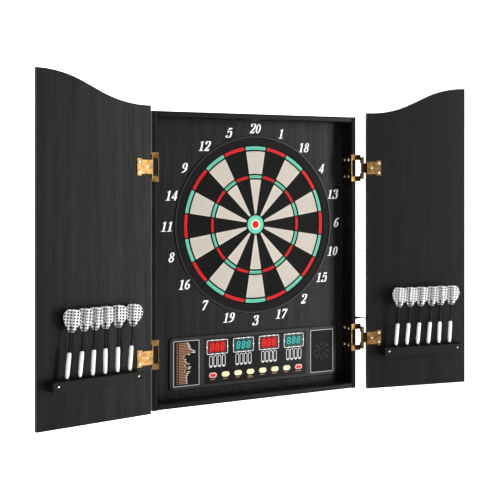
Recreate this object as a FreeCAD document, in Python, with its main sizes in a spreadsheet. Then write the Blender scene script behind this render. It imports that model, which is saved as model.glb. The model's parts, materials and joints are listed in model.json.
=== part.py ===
"""Electronic dartboard in a wall cabinet with two doors. Millimetres, +Z up.

The origin is the centre of the cabinet's back face, which hangs flat on the wall. +Y points into
the wall and +X to the player's right. The doors stand open, as they do in play. A door and all
that is on it is drawn shut, in a frame whose origin is its hinge axis, and is then swung open.
"""
import FreeCAD
import Part
import Sketcher

import math
import os
import re

SIZES = {
    # cabinet
    "cabinet_width": 496.0,
    "cabinet_height": 612.0,
    "cabinet_depth": 76.0,
    "board_thickness": 12.0,
    "edge_rounding": 3.5,
    "back_thickness": 5.0,
    "recess_depth": 38.0,
    "fascia_thickness": 3.0,
    "keyhole_spacing": 406.4,
    "keyhole_height": 250.0,
    "keyhole_radius": 5.0,
    "keyhole_slot_radius": 2.5,
    "keyhole_slot_rise": 12.0,
    # target
    "target_across": 10.0,
    "target_up": 67.0,
    "double_outer": 171.5,
    "double_inner": 161.4,
    "triple_outer": 109.4,
    "triple_inner": 99.5,
    "bull_outer": 21.5,
    "bull_inner": 8.2,
    "web_thickness": 2.0,
    "web_proud": 1.2,
    "key_gap": 0.25,
    "key_depth": 11.8,
    "key_travel": 1.0,
    "rim_outer": 174.6,
    "housing_radius": 190.0,
    "catch_inner": 175.0,
    "catch_outer": 194.0,
    "catch_proud": 2.0,
    "catch_floor_proud": 1.0,
    "catch_lip": 4.0,
    "catch_lip_slope": 3.0,
    "catch_lip_rounding": 1.6,
    "mat_thickness": 2.0,
    "film_thickness": 0.6,
    "backplate_thickness": 3.0,
    # control panel
    "panel_across": 10.0,
    "panel_up": -221.5,
    "panel_width": 412.0,
    "panel_height": 111.0,
    "panel_corner": 11.0,
    "panel_proud": 4.0,
    "panel_lip": 4.0,
    "lens_width": 251.0,
    "lens_height": 96.0,
    "lens_thickness": 2.0,
    "lens_sunk": 0.5,
    "side_window_across": 167.3,
    "side_window_width": 57.0,
    "side_window_height": 93.0,
    "card_sunk": 0.8,
    "display_pitch": 63.0,
    "display_up": 29.0,
    "display_width": 46.0,
    "display_height": 27.0,
    "button_pitch": 30.26,
    "button_down": 30.5,
    "button_width": 18.5,
    "button_height": 11.0,
    "button_proud": 2.2,
    "button_travel": 1.5,
    "button_gap": 0.3,
    "button_flange": 1.5,
    "circuit_thickness": 1.6,
    "circuit_inset": 41.0,
    "processor_side": 24.0,
    "processor_height": 3.0,
    "socket_width": 60.0,
    "socket_tall": 8.0,
    "socket_height": 6.0,
    "driver_width": 18.0,
    "driver_tall": 6.0,
    "driver_height": 2.5,
    "chip_overlap": 0.5,
    "keypad_thickness": 1.2,
    "speaker_radius": 25.0,
    "speaker_depth": 17.0,
    "speaker_flange": 2.5,
    "basket_radius": 12.0,
    "basket_depth": 7.0,
    "magnet_radius": 14.0,
    "grille_slot_width": 1.5,
    # hinges
    "hinge_up": 191.0,
    "hinge_outboard": 7.45,
    "hinge_forward": 13.9,
    "hinge_screw_near": 12.0,
    "hinge_screw_far": 28.0,
    "hinge_screw_rise": 18.7,
    "leaf_thickness": 1.5,
    "leaf_clearance": 0.2,
    "leaf_height": 60.0,
    "leaf_reach": 35.0,
    "leaf_window": 36.0,
    "knuckle_radius": 3.75,
    "knuckle_top": 24.0,
    "knuckle_split": 11.3,
    "knuckle_gap": 0.3,
    "pin_radius": 1.5,
    "pin_fit": 0.05,
    "door_leaf_reach": 33.0,
    "door_leaf_neck": 28.0,
    "door_leaf_ear": 34.0,
    "door_leaf_ear_width": 10.0,
    "door_leaf_screw_rise": 10.5,
    # doors
    "door_gap": 1.0,
    "door_thickness": 12.0,
    "door_bottom": -305.0,
    "door_top": 314.5,
    "door_rounding": 1.2,
    "crown_flat": 8.0,
    "crown_lower_radius": 253.2,
    "crown_slope": 24.5,
    "crown_straight": 37.0,
    "left_door_open": 170.9,
    "right_door_open": 170.3,
    # dart holders and darts
    "holder_top": -210.5,
    "holder_height": 18.5,
    "holder_depth": 26.0,
    "holder_length": 196.0,
    "holder_middle": 128.5,
    "holder_hole_radius": 4.6,
    "holder_screw_across": 86.0,
    "holder_screw_recess": 3.0,
    "dart_pitch": 27.0,
    "dart_standoff": 18.5,
    "tip_radius": 2.3,
    "tip_length": 24.0,
    "collar_radius": 6.2,
    "collar_height": 1.4,
    "neck_height": 4.0,
    "barrel_radius": 4.2,
    "barrel_foot_radius": 3.0,
    "barrel_head_radius": 3.3,
    "barrel_length": 48.0,
    "shaft_radius": 2.2,
    "shaft_foot_radius": 2.9,
    "shaft_length": 50.0,
    "flight_radius": 17.0,
    "flight_height": 43.0,
    "flight_thickness": 0.5,
    # screws
    "screw_radius": 1.6,
    "screw_length": 9.0,
    "screw_head_radius": 3.0,
    "screw_head_height": 1.7,
    "screw_slot_width": 0.7,
    # power lead
    "jack_inward": 28.0,
    "jack_up": -155.5,
    "jack_radius": 5.4,
    "jack_bore": 2.85,
    "jack_depth": 9.0,
    "jack_block": 13.0,
    "plug_barrel_radius": 2.7,
    "plug_radius": 5.2,
    "plug_length": 28.0,
    "relief_length": 14.0,
    "relief_foot_radius": 3.2,
    "relief_end_radius": 1.9,
    "cord_radius": 1.3,
    "coil_mean_radius": 15.5,
    "coil_section": 10.4,
    "adapter_width": 42.0,
    "adapter_thickness": 28.0,
    "adapter_height": 50.0,
    "adapter_rounding": 3.5,
    "adapter_relief_length": 12.0,
    "adapter_relief_foot": 4.6,
    "adapter_relief_end": 2.6,
    "prong_length": 17.0,
    "prong_width": 6.3,
    "prong_thickness": 1.5,
    "prong_spacing": 12.7,
}

COLOURS_AROUND = ("cream", "black")
NUMBER_SECTORS = 20
SCREWS_ROUND_TARGET = 8
DARTS_PER_DOOR = 6
HINGE_SCREW_DEPTHS = ("hinge_screw_near", "hinge_screw_far")
HINGE_SCREW_RISES = ("hinge_screw_rise", "-hinge_screw_rise")
DISPLAY_STEPS = (-1.5, -0.5, 0.5, 1.5)
GRILLE_RAYS = 8
BUTTONS = ("power", "game", "option", "player", "double", "bounce", "sound", "start")

# how far each dart leans sideways in its loose hole, in degrees, from the hinge outwards
DART_LEANS = {
    "left": (5.0, 1.6, 1.1, 3.6, 5.8, 6.2),
    "right": (5.4, 5.6, 5.4, 5.6, 3.2, 3.6),
}
FLIGHT_TURNS = (-28.0, -32.0, -19.0, -19.0, -19.0, -22.0)

# The lead's route from the plug to its coil, all at the jack's depth: across, up.
LEAD_ROUTE = (
    (290.0, -155.5),
    (302.0, -157.0),
    (316.0, -161.5),
    (331.0, -168.0),
    (345.0, -177.5),
    (355.5, -189.5),
    (361.0, -201.0),
    (362.5, -212.5),
)
COIL_CENTRE = (347.0, -225.0)

doc = FreeCAD.newDocument("electronic_dartboard")
sheet = doc.addObject("Spreadsheet::Sheet", "Sizes")
for row, (alias, value) in enumerate(SIZES.items(), start=1):
    sheet.set("A%d" % row, alias)
    sheet.set("B%d" % row, str(value))
    sheet.setAlias("B%d" % row, alias)
doc.recompute()

V = FreeCAD.Vector
UP = V(0, 0, 1)
NODES = []


# ---------------------------------------------------------------- bound sizes and shared helpers
def bound(text):
    """The text as an expression on the sheet's cells."""
    def cell(match):
        name = match.group()
        return "Sizes." + name if name in SIZES else name
    return re.sub(r"[a-z][a-z_]+", cell, str(text))


def size(text):
    return float(sheet.evalExpression(bound(text)))


def node(thing, label):
    """Gives a finished sub-part its name and puts it on the list of sub-parts."""
    thing.Label = label
    NODES.append(thing)
    return thing


def place(thing, across="0", back="0", up="0"):
    for letter, text in zip("xyz", (across, back, up)):
        thing.setExpression("Placement.Base." + letter, bound(text))
    return thing


def new_body(label):
    return node(doc.addObject("PartDesign::Body", label), label)


def new_sketch(body, role, lift="0"):
    """A sketch on one of the body's own origin planes, lifted along the plane's normal."""
    sketch = body.newObject("Sketcher::SketchObject", body.Name + "_sketch")
    plane = next(item for item in body.Origin.OriginFeatures if item.Role == role)
    sketch.AttachmentSupport = [(plane, "")]
    sketch.MapMode = "FlatFace"
    sketch.setExpression("AttachmentOffset.Base.z", bound(lift))
    return sketch


def tie(sketch, geometry, point, across, up):
    """Ties a point to the sketch's origin by two bound distances."""
    for kind, text in (("DistanceX", across), ("DistanceY", up)):
        index = sketch.addConstraint(Sketcher.Constraint(kind, -1, 1, geometry, point, size(text)))
        sketch.setExpression("Constraints[%d]" % index, bound(text))


def set_radius(sketch, geometry, radius):
    index = sketch.addConstraint(Sketcher.Constraint("Radius", geometry, size(radius)))
    sketch.setExpression("Constraints[%d]" % index, bound(radius))


def arc_through(start, end, radius, turn):
    """An arc from start to end that turns left (turn 1) or right (turn -1)."""
    half = (end - start) * 0.5
    aside = math.sqrt(max(radius ** 2 - half.Length ** 2, 0.0))
    left = V(-half.y, half.x, 0).normalize()
    centre = start + half + left * (aside * turn)
    first, last = (start, end) if turn > 0 else (end, start)
    angles = [math.atan2(point.y - centre.y, point.x - centre.x) for point in (first, last)]
    if angles[1] < angles[0]:
        angles[1] += 2 * math.pi
    return Part.ArcOfCircle(Part.Circle(centre, UP, radius), *angles)


def outline(sketch, corners):
    """A closed outline. A corner is (across, up), or (across, up, radius, turn) where an arc leaves it."""
    spots = [V(size(corner[0]), size(corner[1]), 0) for corner in corners]
    ends = []
    for index, corner in enumerate(corners):
        start, end = spots[index], spots[(index + 1) % len(corners)]
        if len(corner) == 2:
            geometry = sketch.addGeometry(Part.LineSegment(start, end), False)
            ends.append((geometry, 1, 2))
        else:
            curve = arc_through(start, end, size(corner[2]), corner[3])
            geometry = sketch.addGeometry(curve, False)
            ends.append((geometry, 1, 2) if corner[3] > 0 else (geometry, 2, 1))
    for index, (geometry, start, end) in enumerate(ends):
        follower = ends[(index + 1) % len(ends)]
        sketch.addConstraint(Sketcher.Constraint("Coincident", geometry, end, follower[0], follower[1]))
        tie(sketch, geometry, start, corners[index][0], corners[index][1])
        if len(corners[index]) == 4:
            set_radius(sketch, geometry, corners[index][2])


def rectangle(sketch, left, bottom, right, top):
    outline(sketch, ((left, bottom), (right, bottom), (right, top), (left, top)))


def rounded_rectangle(sketch, middle, centre, width, height, corner):
    """A rectangle with round corners, about (middle, centre)."""
    x0, x1 = "%s - (%s) / 2" % (middle, width), "%s + (%s) / 2" % (middle, width)
    z0, z1 = "%s - (%s) / 2" % (centre, height), "%s + (%s) / 2" % (centre, height)
    outline(sketch, (
        (x0 + " + " + corner, z0), (x1 + " - " + corner, z0, corner, 1),
        (x1, z0 + " + " + corner), (x1, z1 + " - " + corner, corner, 1),
        (x1 + " - " + corner, z1), (x0 + " + " + corner, z1, corner, 1),
        (x0, z1 + " - " + corner), (x0, z0 + " + " + corner, corner, 1)))


def circles(sketch, places, radius):
    for across, up in places:
        centre = V(size(across), size(up), 0)
        geometry = sketch.addGeometry(Part.Circle(centre, UP, size(radius)), False)
        tie(sketch, geometry, 3, across, up)
        set_radius(sketch, geometry, radius)


def pad(body, sketch, length):
    feature = body.newObject("PartDesign::Pad", body.Name + "_pad")
    feature.Profile = sketch
    feature.setExpression("Length", bound(length))
    return feature


def pocket(body, sketch, depth, reverse=False):
    """Cuts against the sketch's normal, or along it if reverse, and makes sure that it cuts."""
    doc.recompute()
    before = body.Shape.Volume
    feature = body.newObject("PartDesign::Pocket", body.Name + "_pocket")
    feature.Profile = sketch
    feature.Reversed = reverse
    feature.setExpression("Length", bound(depth))
    doc.recompute()
    if body.Shape.Volume > before - 0.1:
        raise RuntimeError("a pocket of %s cuts nothing" % body.Label)
    return feature


def round_edges(body, radius, wanted):
    """Rounds the edges of the body's tip whose two ends both pass the test."""
    doc.recompute()
    base = body.Tip
    names = []
    for index, edge in enumerate(base.Shape.Edges, start=1):
        if all(wanted(vertex.Point) for vertex in edge.Vertexes):
            names.append("Edge%d" % index)
    feature = body.newObject("PartDesign::Fillet", body.Name + "_rounding")
    feature.Base = (base, names)
    feature.setExpression("Radius", bound(radius))


def box(left, right, front, back, bottom, top, name="block"):
    """A box between bound limits."""
    block = doc.addObject("Part::Box", name)
    block.setExpression("Length", bound("(%s) - (%s)" % (right, left)))
    block.setExpression("Width", bound("(%s) - (%s)" % (back, front)))
    block.setExpression("Height", bound("(%s) - (%s)" % (top, bottom)))
    return place(block, left, front, bottom)


def cylinder(radius, length, across, back, up, axis=UP, name="rod"):
    """A cylinder that starts at a bound place and runs along an axis."""
    rod = doc.addObject("Part::Cylinder", name)
    rod.setExpression("Radius", bound(radius))
    rod.setExpression("Height", bound(length))
    rod.Placement.Rotation = FreeCAD.Rotation(UP, axis)
    return place(rod, across, back, up)


def fuse(things, label):
    joined = doc.addObject("Part::MultiFuse", label)
    joined.Shapes = things
    joined.Refine = True
    return joined


def cut(base, tool, label):
    rest = doc.addObject("Part::Cut", label)
    rest.Base = base
    rest.Tool = tool
    return rest


def group(things, label):
    gathered = doc.addObject("Part::Compound", label)
    gathered.Links = things
    return gathered


def feature(shape, label):
    """A sub-part whose shape is worked out here from the sheet's sizes."""
    thing = doc.addObject("Part::Feature", label)
    thing.Shape = shape
    return node(thing, label)


FRONT = "-cabinet_depth"
FASCIA_FRONT = "(recess_depth - cabinet_depth)"
FASCIA_BACK = "(recess_depth + fascia_thickness - cabinet_depth)"
HALF_WIDTH = "cabinet_width / 2"
INNER_WIDTH = "(cabinet_width / 2 - board_thickness)"
HALF_HEIGHT = "cabinet_height / 2"
DOOR_FACE = "(hinge_forward - 2 * leaf_thickness - leaf_clearance)"
INTO_WALL = V(0, 1, 0)
TO_PLAYER = V(0, -1, 0)


# ---------------------------------------------------------------- cabinet
def hinge_screw_places():
    """Depth and height of the four screws of each of a side's two hinges."""
    places = []
    for level in ("hinge_up", "-hinge_up"):
        for depth in HINGE_SCREW_DEPTHS:
            for rise in HINGE_SCREW_RISES:
                places.append((FRONT + " + " + depth, level + " + " + rise))
    return places


def rounded_board(body, role, near, far, lift, length):
    """A board whose two long front edges are rounded, drawn as its cross-section."""
    r = "edge_rounding"
    sketch = new_sketch(body, role, lift)
    flat = ((near, "0"), (near, FRONT + " + " + r, r, 1), (near + " + " + r, FRONT),
            (far + " - " + r, FRONT, r, 1), (far, FRONT + " + " + r), (far, "0"))
    outline(sketch, flat)
    pad(body, sketch, length)


def side_panel(label, side):
    body = new_body(label)
    edges = (INNER_WIDTH, HALF_WIDTH) if side > 0 else ("-" + HALF_WIDTH, "-" + INNER_WIDTH)
    rounded_board(body, "XY_Plane", edges[0], edges[1], "-" + HALF_HEIGHT, "cabinet_height")
    holes = new_sketch(body, "YZ_Plane", "%d * %s" % (side, INNER_WIDTH))
    circles(holes, hinge_screw_places(), "screw_radius")
    pocket(body, holes, "screw_length", reverse=side > 0)
    if side > 0:
        hole = new_sketch(body, "YZ_Plane", HALF_WIDTH)
        circles(hole, [("-jack_inward", "jack_up")], "jack_radius")
        pocket(body, hole, "board_thickness")


def end_panel(label, side):
    """The cabinet's top (side 1) or bottom (side -1), between the side panels."""
    body = new_body(label)
    sketch = new_sketch(body, "YZ_Plane", "-" + INNER_WIDTH)
    inner = "%s - board_thickness" % HALF_HEIGHT if side > 0 else "-" + HALF_HEIGHT
    outer = HALF_HEIGHT if side > 0 else "board_thickness - " + HALF_HEIGHT
    r = "edge_rounding"
    outline(sketch, (
        ("0", inner), ("0", outer), (FRONT + " + " + r, outer, r, 1), (FRONT, outer + " - " + r),
        (FRONT, inner + " + " + r, r, 1), (FRONT + " + " + r, inner)))
    pad(body, sketch, "2 * " + INNER_WIDTH)


def back_panel():
    body = new_body("back_panel")
    sketch = new_sketch(body, "XZ_Plane")
    limit = HALF_HEIGHT + " - board_thickness"
    rectangle(sketch, "-" + INNER_WIDTH, "board_thickness - " + HALF_HEIGHT, INNER_WIDTH, limit)
    pad(body, sketch, "back_thickness")
    for side in ("-", ""):
        middle = side + "keyhole_spacing / 2"
        entry = new_sketch(body, "XZ_Plane", "back_thickness")
        circles(entry, [(middle, "keyhole_height")], "keyhole_radius")
        pocket(body, entry, "back_thickness")
        slot = new_sketch(body, "XZ_Plane", "back_thickness")
        low, high = "keyhole_height", "keyhole_height + keyhole_slot_rise"
        r = "keyhole_slot_radius"
        outline(slot, ((middle + " - " + r, low), (middle + " + " + r, low),
                       (middle + " + " + r, high, r, 1), (middle, high + " + " + r, r, 1),
                       (middle + " - " + r, high)))
        pocket(body, slot, "back_thickness")


def fascia_board():
    """The thin front board with the openings for the target and the control panel."""
    body = new_body("fascia_board")
    sketch = new_sketch(body, "XZ_Plane", "-" + FASCIA_BACK)
    limit = HALF_HEIGHT + " - board_thickness"
    rectangle(sketch, "-" + INNER_WIDTH, "board_thickness - " + HALF_HEIGHT, INNER_WIDTH, limit)
    pad(body, sketch, "fascia_thickness")
    round_hole = new_sketch(body, "XZ_Plane", "-" + FASCIA_FRONT)
    circles(round_hole, [("target_across", "target_up")], "catch_inner")
    pocket(body, round_hole, "fascia_thickness")
    panel_hole = new_sketch(body, "XZ_Plane", "-" + FASCIA_FRONT)
    rounded_rectangle(panel_hole, "panel_across", "panel_up", "panel_width - 2 * panel_lip",
                      "panel_height - 2 * panel_lip", "(panel_corner - panel_lip)")
    pocket(body, panel_hole, "fascia_thickness")


# ---------------------------------------------------------------- target
KEY_FRONT = size(FASCIA_FRONT)
KEY_BACK = KEY_FRONT + size("key_depth")
MAT_FRONT = KEY_BACK + size("key_travel + 0.2")
BACKPLATE_FRONT = MAT_FRONT + size("mat_thickness + film_thickness")
TARGET = V(size("target_across"), 0, size("target_up"))


def ring_point(radius, angle):
    """A point of the target's plane, with the angle in radians clockwise from the top."""
    return TARGET + V(radius * math.sin(angle), 0, radius * math.cos(angle))


def sector(inner, outer, middle, half_inner, half_outer, front, back):
    """A prism between two radii whose straight sides keep a set distance from the spokes."""
    corners = [ring_point(inner, middle - half_inner), ring_point(outer, middle - half_outer),
               ring_point(outer, middle + half_outer), ring_point(inner, middle + half_inner)]
    edges = [
        Part.LineSegment(corners[0], corners[1]).toShape(),
        Part.Arc(corners[1], ring_point(outer, middle), corners[2]).toShape(),
        Part.LineSegment(corners[2], corners[3]).toShape(),
        Part.Arc(corners[3], ring_point(inner, middle), corners[0]).toShape(),
    ]
    face = Part.Face(Part.Wire(edges))
    face.translate(V(0, front, 0))
    return face.extrude(V(0, back - front, 0))


def bed(number, inner, outer, inset, front, back):
    """Sector number's prism between two radii, its walls set in from the web's centre lines."""
    middle = number * 2 * math.pi / NUMBER_SECTORS
    low, high = size(inner) + inset, size(outer) - inset
    halves = [math.pi / NUMBER_SECTORS - math.asin(inset / radius) for radius in (low, high)]
    return sector(low, high, middle, halves[0], halves[1], front, back)


RINGS = (
    ("double_inner", "double_outer + web_thickness / 2"),
    ("triple_outer", "double_inner"),
    ("triple_inner", "triple_outer"),
    ("bull_outer", "triple_inner"),
)


def disc(radius, front, back, hole=0.0):
    """A flat disc about the target's axis, or a ring if it has a hole."""
    plate = Part.makeCylinder(radius, back - front, TARGET + V(0, front, 0), INTO_WALL)
    if hole:
        plate = plate.cut(Part.makeCylinder(hole, back - front, TARGET + V(0, front, 0), INTO_WALL))
    return plate


def target_screw_places():
    radius = (size("rim_outer") + size("housing_radius")) / 2
    turns = [(step + 0.5) * 2 * math.pi / SCREWS_ROUND_TARGET for step in range(SCREWS_ROUND_TARGET)]
    return [ring_point(radius, turn) for turn in turns]


def spider():
    """The web that parts the keys, with the housing flange that the backplate is screwed to."""
    front = KEY_FRONT - size("web_proud")
    web = disc(size("rim_outer"), front, MAT_FRONT)
    half = size("web_thickness") / 2
    windows = [bed(number, inner, outer, half, front, MAT_FRONT)
               for number in range(NUMBER_SECTORS) for inner, outer in RINGS]
    windows.append(disc(size("bull_outer") - half, front, MAT_FRONT))
    web = web.cut(windows)
    flange = disc(size("housing_radius"), size(FASCIA_BACK), BACKPLATE_FRONT, size("rim_outer - 1"))
    flange = flange.fuse(web)
    depth = size("screw_length - backplate_thickness")
    holes = [Part.makeCylinder(size("screw_radius"), depth, spot + V(0, BACKPLATE_FRONT, 0), TO_PLAYER)
             for spot in target_screw_places()]
    return feature(flange.cut(holes), "spider")


def segment_groups():
    """The keys of each colour. Doubles and triples are green on cream sectors and red on black ones."""
    inset = size("web_thickness / 2 + key_gap")
    keys = {"cream": [], "black": [], "red": [], "green": []}
    for number in range(NUMBER_SECTORS):
        single = COLOURS_AROUND[number % 2]
        ring_colour = "green" if single == "cream" else "red"
        for index, (inner, outer) in enumerate(RINGS):
            colour = single if index % 2 else ring_colour
            keys[colour].append(bed(number, inner, outer, inset, KEY_FRONT, KEY_BACK))
    for colour, solids in keys.items():
        feature(Part.makeCompound(solids), colour + "_segments")


def bulls():
    outer = size("bull_outer - web_thickness / 2 - key_gap")
    feature(disc(outer, KEY_FRONT, KEY_BACK, size("bull_inner + key_gap")), "outer_bull")
    feature(disc(size("bull_inner"), KEY_FRONT - 0.4, KEY_BACK), "inner_bull")


def catch_ring():
    """The raised rim round the target, a shallow dish with a rounded outer lip."""
    body = new_body("catch_ring")
    place(body, "target_across", FASCIA_FRONT, "target_up")
    sketch = new_sketch(body, "XY_Plane")
    outline(sketch, (
        ("catch_inner", "0"), ("catch_outer", "0"),
        ("catch_outer", "-0.5", "catch_lip_rounding", -1),
        ("catch_outer - 1.5", "-catch_proud"), ("catch_outer - catch_lip", "-catch_proud"),
        ("catch_outer - catch_lip - catch_lip_slope", "-catch_floor_proud"),
        ("catch_inner", "-catch_floor_proud")))
    turned = body.newObject("PartDesign::Revolution", "catch_ring_turned")
    turned.Profile = sketch
    turned.ReferenceAxis = (next(item for item in body.Origin.OriginFeatures
                                 if item.Role == "Y_Axis"), [""])
    turned.Angle = 360


def switch_layers():
    """Rubber mat, printed switch film and backplate, from the keys to the wall."""
    feature(disc(size("rim_outer - 2"), MAT_FRONT, MAT_FRONT + size("mat_thickness")), "switch_mat")
    film_front = MAT_FRONT + size("mat_thickness")
    feature(disc(size("rim_outer - 2"), film_front, BACKPLATE_FRONT), "membrane_switch")
    plate = disc(size("housing_radius"), BACKPLATE_FRONT, BACKPLATE_FRONT + size("backplate_thickness"))
    holes = [Part.makeCylinder(size("screw_radius"), 10, spot + V(0, BACKPLATE_FRONT - 1, 0), INTO_WALL)
             for spot in target_screw_places()]
    feature(plate.cut(holes), "target_backplate")


# ---------------------------------------------------------------- control panel
PANEL_FRONT = "(%s - panel_proud)" % FASCIA_FRONT
LENS_FRONT = "(%s + lens_sunk)" % PANEL_FRONT
LENS_BACK = "(%s + lens_thickness)" % LENS_FRONT


def control_bezel():
    """The moulded panel: a lip in front of the fascia, a body through it, and three windows."""
    body = new_body("control_bezel")
    place(body, "panel_across", FASCIA_BACK, "panel_up")
    core = new_sketch(body, "XZ_Plane")
    rounded_rectangle(core, "0", "0", "panel_width - 2 * panel_lip - 0.4",
                      "panel_height - 2 * panel_lip - 0.4", "(panel_corner - panel_lip)")
    pad(body, core, "fascia_thickness + 1")
    lip = new_sketch(body, "XZ_Plane", "fascia_thickness")
    rounded_rectangle(lip, "0", "0", "panel_width", "panel_height", "panel_corner")
    pad(body, lip, "panel_proud")
    front = -size("fascia_thickness + panel_proud")
    round_edges(body, "1.6", lambda point: abs(point.y - front) < 0.01)
    top = "fascia_thickness + panel_proud"
    recess = new_sketch(body, "XZ_Plane", top)
    rectangle(recess, "-lens_width / 2", "-lens_height / 2", "lens_width / 2", "lens_height / 2")
    pocket(body, recess, "lens_sunk + lens_thickness")
    through = new_sketch(body, "XZ_Plane", top)
    rectangle(through, "3 - lens_width / 2", "3 - lens_height / 2", "lens_width / 2 - 3",
              "lens_height / 2 - 3")
    pocket(body, through, top)
    for side, depth in (("-", "card_sunk"), ("", "lens_sunk + lens_thickness")):
        window = new_sketch(body, "XZ_Plane", top)
        middle = side + "side_window_across"
        rectangle(window, middle + " - side_window_width / 2", "-side_window_height / 2",
                  middle + " + side_window_width / 2", "side_window_height / 2")
        pocket(body, window, depth)
    vent = new_sketch(body, "XZ_Plane", top)
    circles(vent, [("side_window_across", "0")], "speaker_radius - 2")
    pocket(body, vent, top)


def button_places():
    middle = (len(BUTTONS) - 1) / 2
    return ["(%g) * button_pitch" % (index - middle) for index in range(len(BUTTONS))]


def stadium(sketch, middle, centre, width, height):
    """An oval with straight long sides."""
    r = "(%s) / 2" % height
    x0, x1 = "%s - (%s) / 2 + %s" % (middle, width, r), "%s + (%s) / 2 - %s" % (middle, width, r)
    low, high = "%s - %s" % (centre, r), "%s + %s" % (centre, r)
    east, west = x1 + " + " + r, x0 + " - " + r
    outline(sketch, ((x0, low), (x1, low, r, 1), (east, centre, r, 1), (x1, high), (x0, high, r, 1),
                     (west, centre, r, 1)))


def display_lens():
    """The glossy front sheet, cut out for the displays and the buttons."""
    body = new_body("display_lens")
    place(body, "panel_across", LENS_BACK, "panel_up")
    sheet_sketch = new_sketch(body, "XZ_Plane")
    rectangle(sheet_sketch, "0.2 - lens_width / 2", "0.2 - lens_height / 2", "lens_width / 2 - 0.2",
              "lens_height / 2 - 0.2")
    pad(body, sheet_sketch, "lens_thickness")
    for step in DISPLAY_STEPS:
        window = new_sketch(body, "XZ_Plane", "lens_thickness")
        middle = "(%g) * display_pitch" % step
        rectangle(window, middle + " - display_width / 2", "display_up - display_height / 2",
                  middle + " + display_width / 2", "display_up + display_height / 2")
        pocket(body, window, "lens_thickness")
    for middle in button_places():
        hole = new_sketch(body, "XZ_Plane", "lens_thickness")
        stadium(hole, middle, "-button_down", "button_width + 2 * button_gap",
                "button_height + 2 * button_gap")
        pocket(body, hole, "lens_thickness")


CIRCUIT_FRONT = "(circuit_inset - cabinet_depth)"


def score_displays():
    """Four display modules on the circuit board, their faces just behind the lens's front."""
    blocks = []
    for step in DISPLAY_STEPS:
        middle = "panel_across + (%g) * display_pitch" % step
        blocks.append(box(
            middle + " - display_width / 2 + 0.2", middle + " + display_width / 2 - 0.2",
            LENS_FRONT + " + 0.6", CIRCUIT_FRONT,
            "panel_up + display_up - display_height / 2 + 0.2",
            "panel_up + display_up + display_height / 2 - 0.2"))
    return node(group(blocks, "score_displays"), "score_displays")


def circuit_board():
    """The board with its processor, four driver chips and the socket of the film's tail."""
    back = CIRCUIT_FRONT + " + circuit_thickness"
    pieces = [box("panel_across - lens_width / 2 - 2", "panel_across + lens_width / 2 + 2",
                  CIRCUIT_FRONT, back, "panel_up - lens_height / 2 + 4", "panel_up + lens_height / 2 - 4")]

    def chip(across, up, width, tall, height):
        """A block on the board's back, a little way into it so that the two join."""
        return box("%s - %s / 2" % (across, width), "%s + %s / 2" % (across, width),
                   back + " - chip_overlap", "%s + %s" % (back, height),
                   "%s - %s / 2" % (up, tall), "%s + %s / 2" % (up, tall))
    pieces.append(chip("panel_across", "panel_up", "processor_side", "processor_side", "processor_height"))
    pieces.append(chip("panel_across", "panel_up + 34", "socket_width", "socket_tall", "socket_height"))
    for step in DISPLAY_STEPS:
        middle = "panel_across + (%g) * display_pitch" % step
        pieces.append(chip(middle, "panel_up - 31", "driver_width", "driver_tall", "driver_height"))
    return node(fuse(pieces, "circuit_board"), "circuit_board")


def keypad_mat():
    """The rubber strip that springs the buttons back."""
    return node(box("panel_across - 3.5 * button_pitch - 12", "panel_across + 3.5 * button_pitch + 12",
                    CIRCUIT_FRONT + " - keypad_thickness", CIRCUIT_FRONT, "panel_up - button_down - 9",
                    "panel_up - button_down + 9", "keypad_mat"), "keypad_mat")


def button(index, middle):
    """An oval cap with a rounded face, and the flange behind the lens that keeps it in."""
    body = new_body("button_" + BUTTONS[index])
    place(body, "panel_across + " + middle, LENS_FRONT, "panel_up - button_down")
    flange_back = size("%s - %s - keypad_thickness - button_travel - 0.2" % (CIRCUIT_FRONT, LENS_FRONT))
    cap = new_sketch(body, "XZ_Plane", "%g" % -flange_back)
    stadium(cap, "0", "0", "button_width", "button_height")
    pad(body, cap, "button_proud + %g" % flange_back)
    front = -size("button_proud")
    round_edges(body, "1.4", lambda point: abs(point.y - front) < 0.01)
    flange = new_sketch(body, "XZ_Plane", "%g" % -flange_back)
    stadium(flange, "0", "0", "button_width + 2 * button_flange", "button_height + 2 * button_flange")
    pad(body, flange, "1")


def speaker_grille():
    """An insert whose slots form a star: arrow-shaped pairs on eight rays."""
    body = new_body("speaker_grille")
    place(body, "panel_across + side_window_across", LENS_BACK, "panel_up")
    plate = new_sketch(body, "XZ_Plane")
    rectangle(plate, "0.2 - side_window_width / 2", "0.2 - side_window_height / 2",
              "side_window_width / 2 - 0.2", "side_window_height / 2 - 0.2")
    pad(body, plate, "lens_thickness")
    slots = new_sketch(body, "XZ_Plane", "lens_thickness")
    for near in (5.5, 10.5, 15.5):
        wide = near * 0.26
        for side in (1, -1):
            outline(slots, (
                ("%g" % (0.35 * side), "%g" % near), ("%g" % (wide * side), "%g" % (near + wide * 0.8)),
                ("%g" % (wide * side), "%g + grille_slot_width" % (near + wide * 0.8)),
                ("%g" % (0.35 * side), "%g + grille_slot_width" % near)))
    cutout = pocket(body, slots, "lens_thickness")
    rays = body.newObject("PartDesign::PolarPattern", "speaker_grille_rays")
    rays.Originals = [cutout]
    rays.Axis = (next(item for item in body.Origin.OriginFeatures if item.Role == "Y_Axis"), [""])
    rays.Angle = 360
    rays.Occurrences = GRILLE_RAYS
    body.Tip = rays


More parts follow.
